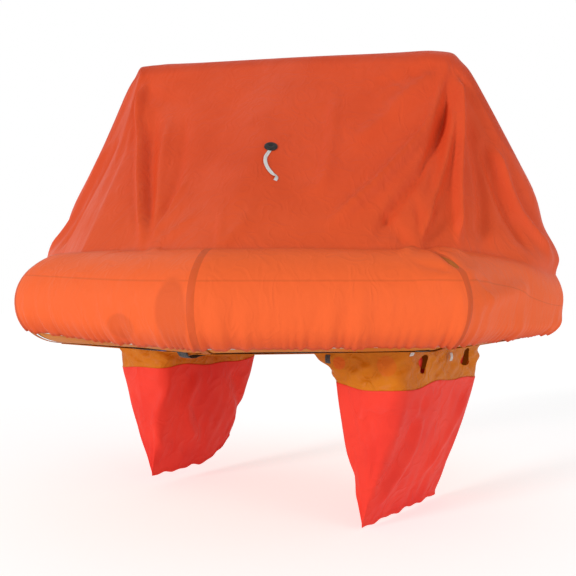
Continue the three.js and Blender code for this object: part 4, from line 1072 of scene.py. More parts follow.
@dataclass
class Canopy:
    """The tent: one sheet from the ridge, over the tube, to a gathered hem."""

    ring: Ring
    arch: Arch
    clearance: float = 0.1578
    arch_clearance: float = 0.0941
    crease_degrees: float = 108.0
    crease_degrees_at_arch: float = 36.0
    hem_degrees: float = -56.0
    hem_rise: float = 19.0
    crease_lift: float = 0.016
    sag: float = 0.014
    standoff: float = 0.009
    relief: float = 0.009
    cloth: float = 0.0015
    fold_gain: float = 2.6
    front_columns: int = 448
    back_columns: int = 256
    wrap_rows: int = 5
    panel_rows: int = 33
    tube_rows: int = 28
    flare: tuple[float, float] = (0.037, 0.050)
    flare_height: float = 0.315
    flare_above: float = 0.10
    flare_below: float = 0.05
    skirt: float = 0.024
    skirt_height: float = 0.05
    skirt_width: float = 0.04
    corner_trim: tuple[float, float] = (0.045, 0.022)
    sharpness: tuple[float, float] = (0.75, 1.0)
    door_half_width: float = 0.300
    door_sill: float = 0.365
    door_top: float = 0.820
    door_corner: float = 0.090
    row_lengths: tuple[float, float, float] = (0.10, 1.16, 0.47)
    creases: tuple[Crease, ...] = ()
    drain_at: tuple[float, float] = (1.88, 1.49)
    tree: BVHTree = field(init=False)

    def seat(self, position: Grid) -> tuple[Grid, Grid, Grid]:
        """The canopy's line along the arch.

        Args:
            position: laps from the +X corner, 0 to 4.

        Returns:
            Points on the centre line, outward directions, and the distance out at which the
            cloth lies, which is larger at the ridge's corners where the cloth makes a point.
        """
        half = np.where(position <= 2, position, 4 - position)
        mirror = np.where(position <= 2, 1.0, -1.0)
        knee = np.array([self.arch.knee_x, self.arch.knee_height])
        corner = np.array([self.arch.corner_x, self.arch.top_height])
        top = np.array([0.0, self.arch.top_height])
        slope = math.atan2(corner[1] - knee[1], knee[0] - corner[0])
        trim = np.where(mirror > 0, *self.corner_trim)[..., None]
        leg_end = corner + unit(knee - corner) * trim
        ridge_end = corner + unit(top - corner) * trim
        on_leg, on_bend, on_ridge = half / 0.5, (half - 0.5) / 0.5, half - 1
        t = np.clip(on_bend, 0, 1)[..., None]
        bend = (1 - t) ** 2 * leg_end + 2 * t * (1 - t) * corner + t**2 * ridge_end
        bend_way = unit((1 - t) * (corner - leg_end) + t * (ridge_end - corner))
        point = np.where((half <= 0.5)[..., None], knee + (leg_end - knee) * on_leg[..., None],
                         np.where((half <= 1)[..., None], bend,
                                  ridge_end + (top - ridge_end) * on_ridge[..., None]))
        leg_way = unit(corner - knee) + 0 * t
        ridge_way = np.array([-1.0, 0.0]) + 0 * t
        way = np.where((half <= 0.5)[..., None], leg_way,
                       np.where((half <= 1)[..., None], bend_way, ridge_way))
        turned = np.arctan2(way[..., 1], -way[..., 0])
        off = np.minimum(turned, slope - turned).clip(0)
        sharp = np.where(mirror > 0, *self.sharpness)
        out = self.arch_clearance * (1 + sharp * (1 / np.cos(off) - 1))
        zero = 0 * point[..., 0]
        return (np.stack([point[..., 0] * mirror, zero, point[..., 1]], -1),
                np.stack([way[..., 1] * mirror, zero, -way[..., 0]], -1), out)

    def hem_line(self, position: Grid) -> Grid:
        """The hem's angle round the tube, which rides higher at the -X end."""
        return self.hem_degrees + self.hem_rise * smooth((position - 2.2) / 1.1)

    def folds(self, position: Grid, share: Grid) -> Grid:
        """Wide folds that fan from the ridge corners: two cosines of the place along the ridge."""
        near = np.minimum(position, 4 - position)
        fan = np.cos(near * 3 * math.pi) + 0.5 * np.cos(near * 5 * math.pi + 1)
        return self.relief * smooth(near / 0.6) * fan * np.sin(math.pi * np.minimum(share * 1.1, 1)) * 0.5

    def surface(self, lap: Grid, row: Grid) -> Grid:
        """The cloth without its small folds.

        Rows 0 to 1 wrap the arch, 1 to 2 are the panel from the arch to the tube with a sag of
        4 s (1 - s), and 2 to 3 wrap the tube from the crease to the hem.

        Args:
            lap: places round the ring, an array of columns.
            row: rows down the cloth.

        Returns:
            A grid of points, rows by columns.
        """
        lap, row = np.meshgrid(np.mod(lap, RING_SIDES), row)
        position = np.where(lap <= 4, lap, 8 - lap)
        side = np.where(lap <= 4, -1.0, 1.0)
        near = np.minimum(position, 4 - position)
        rise = smooth(near)
        centre, outward, reach = self.seat(position)
        crease = self.crease_degrees_at_arch + (self.crease_degrees - self.crease_degrees_at_arch) * rise
        lift = self.crease_lift * rise

        def on_tube(degrees: Grid, extra: Grid) -> Grid:
            points = self.ring.point(np.minimum(position, 4 - 1e-9), degrees, self.clearance + extra)
            points[..., 1] *= -side
            return points

        drawn = on_tube(crease, 0 * rise) - centre
        height = (drawn * outward).sum(-1)
        depth = drawn[..., 1] * side
        tangency = np.arccos(np.minimum(1, reach / np.hypot(height, depth)))
        limit = math.pi / 2 * smooth(near / 0.5)
        leaving = np.clip(np.arctan2(depth, height) - tangency, 0, limit)
        across = np.stack([0 * side, side, 0 * side], -1)

        def facing(angle: Grid) -> Grid:
            return outward * np.cos(angle)[..., None] + across * np.sin(angle)[..., None]

        stand = self.standoff * (1 - smooth(near - 0.4)) + self.arch_clearance
        wrapped = centre + facing(leaving * np.clip(row, 0, 1)) * reach[..., None]
        top = centre + facing(leaving) * reach[..., None]
        foot = on_tube(crease, lift)
        share = np.clip(row - 1, 0, 1)
        inward = self.folds(position, share) - 4 * self.sag * rise * share * (1 - share)
        panel = top + (foot - top) * share[..., None] + facing(leaving) * inward[..., None]
        down = np.clip(row - 2, 0, 1)
        hem = self.hem_line(position)
        over = on_tube(crease + (hem - crease) * down, lift * (1 - smooth(down * 2.5)))
        points = np.where((row <= 1)[..., None], self.arch.push_out(wrapped, stand),
                          np.where((row <= 2)[..., None], self.arch.push_out(panel, stand), over))
        return self.settled(points)

    def settled(self, points: Grid) -> Grid:
        """The cloth as it hangs in the photo: a ridge set off to +X and tilted, and flared ends.

        It leans with the arch, and each end moves out by bells exp(-((z - c) / w)^2) of height.

        Args:
            points: points of the plain surface.

        Returns:
            The moved points.
        """
        x, z = points[..., 0], points[..., 2]
        left, right = smooth((-x - 0.80) / 0.15), smooth((x - 0.80) / 0.15)
        moved = self.arch.leaning(points)
        off = z - self.flare_height
        shoulder = np.exp(-(off / np.where(off > 0, self.flare_above, self.flare_below)) ** 2)
        skirt = self.skirt * np.exp(-((z - self.skirt_height) / self.skirt_width) ** 2)
        moved[..., 0] += right * (self.flare[0] * shoulder + skirt) - left * self.flare[1] * shoulder
        return moved

    def hem_gathers(self, lap: Grid, row: Grid) -> Grid:
        """Gathers of the elastic hem.

        Short gathers, a phase-wobbled sine of 212 turns round the raft that grows over the last
        quarter of the cloth, on longer slanting ones of about 70 turns.
        """
        down = np.clip(row - 2, 0, 1)
        turn = 2 * math.pi * lap / RING_SIDES
        slant = 0.5 * np.sin(5 * turn + 1.0) + 0.35 * np.sin(11 * turn)
        wobble = 1.9 * np.sin(23 * turn + 0.6) + 1.3 * np.sin(37 * turn + 2.0)
        strength = 0.62 + 0.38 * np.sin(13 * turn + 0.4) * np.sin(29 * turn)
        short = np.sin(212 * turn + wobble + 5 * slant * (1 - down)) * smooth((down - 0.7) / 0.3)
        long_ = np.sin(71 * turn + 2.2 * np.sin(9 * turn) + 9 * slant * (1 - down))
        long_ = long_ * smooth((down - 0.38) / 0.55) * (0.45 + 0.55 * np.sin(17 * turn + 1.2))
        return 0.0042 * strength * (short + 0.85 * smooth((down - 0.7) / 0.3)) + 0.0052 * (long_ + 0.3)

    def crease_lines(self) -> list[tuple[Grid, Crease]]:
        """Every crease with its line laid on the cloth."""
        found = []
        for crease in self.creases:
            dense = spline(crease.line, 7)
            line = np.array([self.surface(np.array([a]), np.array([b]))[0, 0] for a, b in dense])
            found.append((line, crease))
        return found

    def build_cloth(self) -> None:
        """The sheet with its folds, its doorway, what shows through it, a darker band over the arch's wrap
        and painted shade in its hem's gathers.
        """
        laps = np.concatenate([np.linspace(0, 4, self.front_columns, endpoint=False),
                               np.linspace(4, 8, self.back_columns, endpoint=False)])
        rows = np.concatenate([np.linspace(0, 1, self.wrap_rows, endpoint=False),
                               np.linspace(1, 2, self.panel_rows, endpoint=False),
                               np.linspace(2, 3, self.tube_rows + 1)])
        points = eased(self.surface(laps, rows), 3, axis=1)
        shell = Shell(points)
        normals = shell.normals()
        if (normals * (points - [0, 0, 0.3])).sum() < 0:
            normals = -normals
        lap, row = np.meshgrid(laps, rows)
        drain = np.hypot((lap - self.drain_at[0]) * 0.5, (row - self.drain_at[1]) * 1.16)
        quiet = smooth((drain - 0.05) / 0.12)
        soft = (0.0028 * ripple(5, lap, row, 7, 0.5, 2.2) * smooth((row - 0.6) / 0.6)
                * (1 - smooth((row - 2) / 0.3)))
        fold = self.fold_gain * press_creases(points, normals, self.crease_lines())
        points = points + normals * ((soft + fold) * quiet + self.hem_gathers(lap, row))[..., None]
        stand = np.full(points.shape[:-1], self.arch_clearance - 0.002)
        points = self.arch.push_out(points, stand, leaning=True)
        closed = np.concatenate([laps, [8.0]])
        down = np.interp(rows, [0, 1, 2, 3], np.concatenate([[0], np.cumsum(self.row_lengths)]))
        metres = np.stack(np.meshgrid(closed * self.ring.side_length, down), -1)
        shell = Shell(points, True, metres)
        # the first row is the ridge's own line, which front and back share
        cloth = new_object("Canopy", points, shell.quads(), shell.corner_metres(),
                           centre=np.array([0, 0, 0.3]))
        # backing: lighter on the lower panel and over the tube; the second share: a darker band over the
        # arch's wrap, and painted shade in the hem's gathers over the last rows
        shares = {"backing": 0.35 * smooth((row - 1.55) / 0.5) + 0.65 * smooth((row - 1.95) / 0.3),
                  "arch_band_and_hem_shade": np.maximum((1 - smooth((row - 1.0) / 0.035)) * (row > 0.2) * 0.7,
                                       smooth((row - 2.8) / 0.2) * 0.8)}
        for name, share in shares.items():
            layer = cloth.data.attributes.new(name, "FLOAT", "POINT")
            layer.data.foreach_set("value", share.ravel().astype(np.float32))
        self.tree = BVHTree.FromPolygons([tuple(p) for p in points.reshape(-1, 3)],
                                         [tuple(q) for q in shell.quads()])
        self.close_ridge(cloth)
        give_wall(cloth, self.cloth)
        self.cut_doorway(cloth)
        seam = self.row_lengths[0] + self.row_lengths[1] + 0.49 * self.row_lengths[2]
        finish = CanopyFinish(
            "orange_cloth", (224, 82, 42), (214, 76, 39), 0.5, crease_scale=6.5, crease_depth=0.0045,
            sharpness=0.35, stretch=(1.0, 1.0, 0.55), seam_down=seam,
            patches=(Patch((-0.070, -1.06, 0.129), (0.062, 0.2, 0.112), 0.24),
                     Patch((-0.277, -0.96, 0.088), (0.056, 0.2, 0.042), 0.2),
                     Patch((-0.93, -0.42, 0.145), (0.1, 0.14, 0.085), 0.3)))
        place(cloth, finish, "orange_cloth", ["canopy"])

    def close_ridge(self, cloth: bpy.types.Object) -> None:
        """Joins the front and back halves along the ridge, where their first rows meet."""
        merge = cloth.modifiers.new("ridge", "WELD")
        merge.merge_threshold = 0.0002

    def door_outline(self, grow: float, count: int) -> Grid:
        """The doorway as (x, z) points.

        A rounded arch: straight sides from the sill, and quarter circles at its upper corners.

        Args:
            grow: how far outside the opening the line runs.
            count: points on each quarter circle.

        Returns:
            Points from the left end of the sill, over the top, to its right end.
        """
        half, radius = self.door_half_width + grow, self.door_corner + grow
        turn = np.linspace(math.pi, math.pi / 2, count)
        left = np.stack([radius * np.cos(turn) - (half - radius), self.door_top - self.door_corner
                         + radius * np.sin(turn)], -1)
        upper = np.vstack([left, left[::-1] * [-1, 1]])
        sill = self.door_sill - grow
        return np.vstack([[-half, sill], upper, [half, sill]])

    def cut_doorway(self, cloth: bpy.types.Object) -> None:
        """Cuts the doorway out of the back panel with a prism, by a Boolean modifier."""
        outline = self.door_outline(0.0, 12)
        near = np.stack([outline[:, 0], np.full(len(outline), 0.15), outline[:, 1]], -1)
        points = np.stack([near, near + [0, 1.2, 0]])
        shell = Shell(points, True)
        count = len(outline)
        cutter = new_object("doorway_cutter", points, shell.quads(), None,
                            [list(range(count)), list(range(2 * count - 1, count - 1, -1))])
        cut = cloth.modifiers.new("doorway", "BOOLEAN")
        cut.operation = "DIFFERENCE"
        cut.solver = "EXACT"
        cut.object = cutter
        settle_modifiers(cloth)
        bpy.data.objects.remove(cutter)

    def on_back(self, x: float, z: float) -> Grid:
        """The point of the back panel at a given x and z."""
        hit = self.tree.ray_cast(Vector((x, 2.0, z)), Vector((0, -1, 0)))
        return np.array(hit[0])

    def build_door_binding(self) -> None:
        """The tape bound round the doorway's edge, a flat band that follows the panel."""
        outline = self.door_outline(0.006, 9)
        closed = np.vstack([outline, outline[:1]])
        steps = np.concatenate([[0], np.cumsum(np.linalg.norm(np.diff(closed, axis=0), axis=1))])
        places = np.linspace(0, steps[-1], 150, endpoint=False)
        flat = np.stack([np.interp(places, steps, closed[:, axis]) for axis in range(2)], -1)
        path = eased(np.array([self.on_back(x, z) for x, z in flat]), 1, axis=0)
        middle = path.mean(0)
        outward = unit(path - middle)
        binding = sweep("Doorway_Binding", path + [0, 0.0012, 0.0006], round_section(0.0055, 12), outward,
                        closed=True)
        place(binding, FLAP_CLOTH, "orange_cloth")

    def build_hem_cord(self) -> None:
        """The elastic cord, which runs inside the hem's gathers."""
        laps = np.linspace(0, 8, 512, endpoint=False)
        position = np.where(laps <= 4, laps, 8 - laps)
        hem = self.hem_line(position)
        radius = self.clearance - 0.0036
        points = self.ring.point(np.minimum(position, 4 - 1e-9), hem - 1.2, radius)
        points[:, 1] *= np.where(laps <= 4, 1, -1)
        points = eased(points, 4, axis=0)
        cord = sweep("Hem_Cord", points, round_section(0.0022, 10), UP, closed=True)
        place(cord, WHITE_WEBBING, "white_webbing", ["hem_cord"])

    def build(self) -> None:
        """Builds the tent."""
        self.build_cloth()
        self.build_door_binding()
        self.build_hem_cord()


@dataclass
class DoorFlap:
    """The doorway's flap, rolled up over it and held by two tapes."""

    canopy: Canopy
    radius: float = 0.0285
    inner: float = 0.010
    turns: float = 2.6
    half_span: float = 0.52
    lift: float = 0.0344
    share: float = 1.27
    tie_width: float = 0.025
    tie_thickness: float = 0.002
    tie_at: float = 0.312

    def line(self, laps: Grid) -> tuple[Grid, Grid]:
        """The roll's middle line and the panel's outward directions along it."""
        step = 0.02
        at = self.canopy.surface(laps, np.array([self.share]))[0]
        below = self.canopy.surface(laps, np.array([self.share + step]))[0]
        beside = self.canopy.surface(laps + step, np.array([self.share]))[0]
        out = unit(np.cross(below - at, beside - at))
        out = np.where(out[:, 1:2] < 0, -out, out)
        return at + out * self.lift, out

    def build_roll(self) -> None:
        """The rolled cloth: a spiral, r = inner + (radius - inner) a, carried along the line."""
        laps = np.linspace(6 + self.half_span, 6 - self.half_span, 60)
        path, out = self.line(laps)
        _, across, rise = path_frames(path, out)
        turn = np.linspace(0, 1, 110)
        radius = self.inner + (self.radius - self.inner) * turn
        angle = 2 * math.pi * self.turns * turn - 1.2
        soft = 1 + 0.03 * ripple(21, laps[:, None] * 3, turn[None], 5, 1, 4)
        points = (path[:, None] + across[:, None] * (radius * np.cos(angle) * soft)[..., None]
                  + rise[:, None] * (radius * np.sin(angle) * soft)[..., None])
        girth = np.cumsum(radius) * 2 * math.pi * self.turns / 110
        metres = np.stack(np.meshgrid(girth, np.linspace(0, 0.75, 60)), -1)
        shell = Shell(points, False, metres)
        roll = new_object("Door_Flap_Roll", points, shell.quads(), shell.corner_metres(),
                          centre=path.mean(0))
        give_wall(roll, 0.0014)
        place(roll, FLAP_CLOTH, "orange_cloth", ["door_flap_roll"])

    def build_tie(self, number: int, way: int) -> None:
        """A tape round the roll."""
        laps = np.array([6 + way * self.tie_at + step for step in (-0.02, 0, 0.02)])
        path, out = self.line(laps)
        _, across, rise = (value[1] for value in path_frames(path, out))
        angle = np.linspace(0, 2 * math.pi, 48, endpoint=False)
        radius = self.radius + 0.0018
        loop = (path[1] + across * (radius * np.cos(angle))[:, None]
                + rise * (radius * np.sin(angle))[:, None])
        section = flat_section(self.tie_width, self.tie_thickness)
        tie = sweep(f"Door_Tie_{number}", loop, section, loop - path[1], closed=True)
        place(tie, WHITE_WEBBING, "white_webbing", [f"door_tie_{number}"])

    def build(self) -> None:
        """Builds the flap and its ties."""
        self.build_roll()
        self.build_tie(1, 1)
        self.build_tie(2, -1)


@dataclass
class Drain:
    """The black drain flange in the front panel and the white tape that pulls it."""

    canopy: Canopy
    radius: float = 0.0245
    squash: float = 0.98
    height: float = 0.008
    bore: float = 0.006
    tape_width: float = 0.013
    tape_thickness: float = 0.0009
    tape_lift: float = 0.0014
    # across and down the panel from the flange's centre
    route: tuple[tuple[float, float], ...] = (
        (-0.004, 0.020), (-0.009, 0.033), (-0.017, 0.052), (-0.021, 0.066), (-0.022, 0.084),
        (-0.019, 0.104), (-0.011, 0.128), (0.003, 0.152), (0.016, 0.168), (0.010, 0.186))

    def frame(self) -> tuple[Grid, Grid, Grid, Grid]:
        """The flange's centre on the cloth, with the ways along and down the panel and out."""
        low, high = (np.array(corner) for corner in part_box("drain_flange"))
        middle = (low + high) / 2
        hit = self.canopy.tree.ray_cast(Vector((middle[0], -2.0, middle[2])), Vector((0, 1, 0)))
        at, out = np.array(hit[0]), np.array(hit[1])
        out = out if out[1] < 0 else -out
        along = unit(np.cross(UP, out))
        along = along if along[0] > 0 else -along
        down = unit(np.cross(out, along))
        down = down if down[2] < 0 else -down
        return at, along, down, out

    def cloth_point(self, guess: Grid, out: Grid) -> Grid:
        """The place on the cloth nearest a point, along the panel's normal."""
        hit = self.canopy.tree.ray_cast(Vector(guess + out * 0.1), Vector(-out))
        return np.array(hit[0])

    def build_tape(self) -> None:
        """The pull tape: a flat band in a slack bow on the panel."""
        at, along, down, out = self.frame()
        route = spline(self.route, 34)
        lying = np.array([self.cloth_point(at + along * a + down * b, out) for a, b in route])
        lie = self.tape_lift + 0.0022 * np.sin(np.linspace(0, math.pi, 34)) ** 2
        path = lying + out * lie[:, None]
        twist = np.interp(np.arange(34), [0, 4, 8, 14, 24, 29, 33], [0, 0.1, 0.35, 0.05, -0.1, 0.5, 0.2])
        tangent = unit(np.gradient(path, axis=0))
        side = np.cross(out, tangent)
        hint = out * np.cos(twist)[:, None] + side * np.sin(twist)[:, None]
        path = path + out * (self.tape_width / 2 * np.abs(np.sin(twist)))[:, None]
        tape = sweep("Drain_Tape", path, flat_section(self.tape_width, self.tape_thickness), hint)
        place(tape, WHITE_WEBBING, "white_webbing", ["drain_tape"])

    def build_flange(self) -> None:
        """The flange: an oval dome with a rolled rim round a small bore."""
        at, along, _, out = self.frame()
        tilted = unit(along + 0.22 * np.cross(out, along))
        r, h = self.radius, self.height
        profile = [(0, 0.0004), (r * 0.97, 0.0004), (r, h * 0.12), (r * 0.99, h * 0.3),
                   (r * 0.93, h * 0.42), (r * 0.87, h * 0.5), (r * 0.78, h * 0.86), (r * 0.62, h),
                   (r * 0.42, h * 0.96), (self.bore * 1.5, h * 0.8), (self.bore, h * 0.62),
                   (self.bore * 0.6, h * 0.5), (0, h * 0.48)]
        flange = lathe("Drain_Flange", profile, at, out, 80, squash=self.squash, along=tilted)
        place(flange, BLACK_RUBBER, "black_rubber", ["drain_flange"])

    def build(self) -> None:
        """Builds the flange; its tape is made first, with the camera."""
        self.build_flange()


@dataclass
class BallastBag:
    """A ballast bag: a yellow collar with a red bag sewn to it, ending in a straight seam."""

    number: int
    label: str
    drop: float
    far_rise: float
    inward_shift: float
    creases: tuple[Crease, ...] = ()
    collar_creases: tuple[Crease, ...] = ()
    heading: float = -22.5
    collar_height: float = 0.140
    floor_gap: float = 0.0006
    half_width: float = 0.310
    flare: float = 0.026
    inner_edge: float = 0.435
    outer_edge: float = 0.718
    seam_radius: float = 0.543
    seam_half_width: float = 0.278
    corner_radius: float = 0.045
    fold: float = 0.015
    near_flare: float = 0.0
    rise_power: float = 1.8
    keel: float = 0.024
    far_inset: float = 0.0
    cloth: float = 0.0012
    columns: int = 320
    bag_rows: int = 84
    collar_rows: int = 26
    hole_radius: float = 0.033
    hole_drop: float = 0.062
    hole_offsets: tuple[float, float] = (-0.170, 0.170)
    tab_size: tuple[float, float, float] = (0.026, 0.024, 0.003)
    tab_offset: float = 0.280

    def in_raft(self, radial: Grid, width: Grid, height: Grid) -> Grid:
        """Bag coordinates as points of the raft: radial and tangential distances on its heading."""
        heading = math.radians(self.heading + 180 * self.number)
        out = np.array([math.cos(heading), math.sin(heading), 0])
        along = np.array([-math.sin(heading), math.cos(heading), 0])
        radial, width, height = np.broadcast_arrays(radial, width, height)
        return (out * (radial - self.inward_shift)[..., None] + along * width[..., None]
                + UP * height[..., None])

    def way(self, radial: float, width: float) -> Grid:
        """A direction of the bag's own frame, as a direction of the raft."""
        return self.in_raft(np.array(radial), width, 0.0) - self.in_raft(np.array(0.0), 0.0, 0.0)

    @property
    def middle(self) -> float:
        """Radial place of the mouth's middle."""
        return (self.outer_edge + self.inner_edge) / 2

    @property
    def half_depth(self) -> float:
        """Half the mouth's radial size."""
        return (self.outer_edge - self.inner_edge) / 2

    @property
    def girth(self) -> float:
        """Length round the mouth."""
        return 4 * self.half_depth + 4 * self.half_width

    def sewn_wave(self, share: Grid) -> Grid:
        """How far the seam between collar and bag wanders: three waves and seven round it."""
        return (0.006 * np.sin(2 * math.pi * 3 * share + 1.3 + self.number)
                + 0.004 * np.sin(2 * math.pi * 7 * share))

    def end_keel(self, radial: Grid, width: Grid) -> Grid:
        """The soft ridge down the middle of each end."""
        return self.keel * (1 - np.abs(radial)) * smooth((np.abs(width) - 0.9) / 0.1)

    def outline(self, share: Grid) -> tuple[Grid, Grid]:
        """The mouth's outline as shares of its half sides.

        A rectangle with rounded corners, followed at even steps. A share of 0 is the middle of
        the inner long side, and shares grow towards +width.

        Args:
            share: place round the outline, 0 to 1.

        Returns:
            Radial share (-1 inner to 1 outer) and width share.
        """
        a = self.half_depth
        b = self.half_width
        r = self.corner_radius
        turn = np.linspace(0, math.pi / 2, 7)
        bend = r * np.stack([1 - np.cos(turn), np.sin(turn) - 1], -1)
        quarter = np.array([-a, b]) + bend
        half = np.vstack([[-a, 0], quarter, (quarter * [-1, 1])[::-1], [a, 0]])
        corners = np.vstack([half, (half * [1, -1])[::-1][1:]])
        steps = np.linalg.norm(np.diff(corners, axis=0), axis=1)
        places = np.concatenate([[0], np.cumsum(steps)]) / steps.sum()
        return np.interp(share, places, corners[:, 0]) / a, np.interp(share, places, corners[:, 1]) / b

    def collar_grid(self) -> Grid:
        """The collar: the outline flared towards the floor, by (1 - t)^2 of the flare."""
        share = np.linspace(0, 1, self.columns, endpoint=False)[None]
        t = np.linspace(0, 1, self.collar_rows)[:, None]
        radial, width = self.outline(share)
        near = np.maximum(0, -radial) * np.maximum(0, width * (-1 if self.number == 0 else 1))
        flare = self.flare * (1 - t) ** 2 + self.near_flare * (1 - t) ** 1.3 * near**2
        sag = 0.006 * ripple(31 + self.number, share * 8, t, 6, 1, 3) * np.sin(math.pi * t)
        keel = self.end_keel(radial, width) * smooth(t)
        deep = self.middle + radial * (self.half_depth + flare + sag)
        wide = width * (self.half_width + flare + sag) + np.sign(width) * keel
        return self.in_raft(deep, wide, -self.floor_gap - (self.collar_height + self.sewn_wave(share)) * t)

    def bag_grid(self) -> Grid:
        """The bag: the outline drawn in, row by row, to the seam at the bottom.

        Radial and width places go from the mouth to the seam in proportion to the row, with a
        swell of sin(2 pi t) that makes its faces bow out and then in. The last rows are the flat
        seam, two plies together.
        """
        share = np.linspace(0, 1, self.columns, endpoint=False)[None]
        t = np.linspace(0, 1, self.bag_rows)[:, None]
        radial, width = self.outline(share)
        closing = np.minimum(t / 0.97, 1)
        spread = self.half_depth * (1 - closing) + 0.0016
        bow = self.fold * np.sin(math.pi * closing) * radial
        deep = self.middle + (self.seam_radius - self.middle) * closing + radial * spread + bow
        far = np.maximum(0, width * (1 if self.number == 0 else -1))
        seam_half = self.seam_half_width - self.far_inset * smooth(far)
        keel = self.end_keel(radial, width) * (1 - closing)
        wide = (width * (self.half_width + (seam_half - self.half_width) * closing)
                + np.sign(width) * keel)
        ragged = 0.004 * np.sin(2 * math.pi * 9 * share + 0.5) + 0.003 * np.sin(2 * math.pi * 17 * share)
        bottom = -self.drop + self.far_rise * far**self.rise_power + ragged * (1 - np.abs(width) ** 4)
        top = -self.floor_gap - self.collar_height
        wave = self.sewn_wave(share)
        level = (top - wave) + (bottom - top + wave) * t
        return self.in_raft(deep, wide, level)

    def folded(self, points: Grid, creases: Sequence[Crease], seed: int, depth: float,
               quiet: Grid) -> Grid:
        """A grid of cloth with its creases and a soft unevenness pressed into it.

        Args:
            points: the grid.
            creases: folds, as lines of (share round, share down).
            seed: seed of the unevenness.
            depth: its depth.
            quiet: a factor for each row that fades the folds out.

        Returns:
            The moved grid.
        """
        shell = Shell(points)
        normals = shell.normals()
        middle = points.mean(axis=(0, 1))
        if (normals * (points - middle)).sum() < 0:
            normals = -normals
        rows, columns = points.shape[:2]
        lines = []
        for crease in creases:
            dense = spline(crease.line, 7)
            across = (dense[:, 0] * columns).astype(int) % columns
            down = (np.clip(dense[:, 1], 0, 1) * (rows - 1)).astype(int)
            lines.append((points[down, across], crease))
        share = np.linspace(0, 8, columns, endpoint=False)[None]
        t = np.linspace(0, 1, rows)[:, None]
        soft = depth * ripple(seed, share, t, 9, 0.6, 3.2)
        return points + normals * ((press_creases(points, normals, lines) + soft) * quiet)[..., None]

    def metres(self, rows: int, height: float) -> Grid:
        """Flat coordinates for a grid of this bag."""
        return np.stack(np.meshgrid(np.linspace(0, self.girth, self.columns + 1),
                                    np.linspace(0, height, rows)), -1)

    def build_collar(self) -> None:
        """The collar, with its water holes cut through both long sides."""
        t = np.linspace(0, 1, self.collar_rows)[:, None]
        grid = self.folded(self.collar_grid(), self.collar_creases, 41 + self.number, 0.003,
                           np.sin(math.pi * t) ** 0.7)
        shell = Shell(grid, True, self.metres(self.collar_rows, self.collar_height))
        collar = new_object(f"{self.label}_Collar", grid, shell.quads(), shell.corner_metres(),
                            centre=grid.mean(axis=(0, 1)))
        give_wall(collar, self.cloth)
        self.cut_holes(collar)
        place(collar, COLLAR_CLOTH, "collar_cloth", [f"ballast_collar_{self.label.lower()}"])

    def cut_holes(self, collar: bpy.types.Object) -> None:
        """Cuts the water holes with rods, by Boolean modifiers."""
        rods = []
        for number, offset in enumerate(self.hole_offsets):
            ends = self.in_raft(np.array([0.30, 0.90]), offset, -self.hole_drop)
            profile = [(0, 0), (self.hole_radius, 0), (self.hole_radius, 0.6), (0, 0.6)]
            rod = lathe(f"hole_rod_{number}", profile, ends[0], ends[1] - ends[0], 40)
            cut = collar.modifiers.new("hole", "BOOLEAN")
            cut.operation = "DIFFERENCE"
            cut.solver = "EXACT"
            cut.object = rod
            rods.append(rod)
        settle_modifiers(collar)
        for rod in rods:
            bpy.data.objects.remove(rod)

    def build_hole_flaps(self) -> None:
        """Red cloth flaps hung inside the collar, one behind each water hole."""
        share = np.linspace(0.02, 1, 10)[:, None]
        turn = np.linspace(0, 2 * math.pi, 48, endpoint=False)[None]
        reach = self.hole_radius * 1.25
        for number, (offset, edge, way) in enumerate(
                (offset, edge, way) for offset in self.hole_offsets
                for edge, way in ((self.inner_edge, 1), (self.outer_edge, -1))):
            swell = 0.004 * np.cos(share * 3) + 0.002 * np.sin(3 * turn) * share
            points = self.in_raft(edge + way * (0.014 - swell), offset + reach * share * np.cos(turn),
                                  -self.hole_drop + reach * share * np.sin(turn))
            behind = self.in_raft(np.array(edge + way * 0.1), offset, -self.hole_drop)
            flap = new_object(f"{self.label}_Hole_Flap_{number + 1}", points, Shell(points).quads(), None,
                              [list(range(48))], centre=behind)
            give_wall(flap, 0.001)
            place(flap, BAG_CLOTH, "bag_cloth")

    def build_bag(self) -> None:
        """The red bag with its folds."""
        t = np.linspace(0, 1, self.bag_rows)[:, None]
        quiet = smooth(t / 0.12) * (1 - 0.9 * smooth((t - 0.82) / 0.18))
        grid = self.folded(self.bag_grid(), self.creases, 51 + self.number, 0.0022, quiet)
        shell = Shell(grid, True, self.metres(self.bag_rows, self.drop - self.collar_height))
        bag = new_object(f"{self.label}_Bag", grid, shell.quads(), shell.corner_metres(),
                         centre=grid.mean(axis=(0, 1)))
        give_wall(bag, self.cloth)
        place(bag, BAG_CLOTH, "bag_cloth", [f"ballast_bag_{self.label.lower()}"])

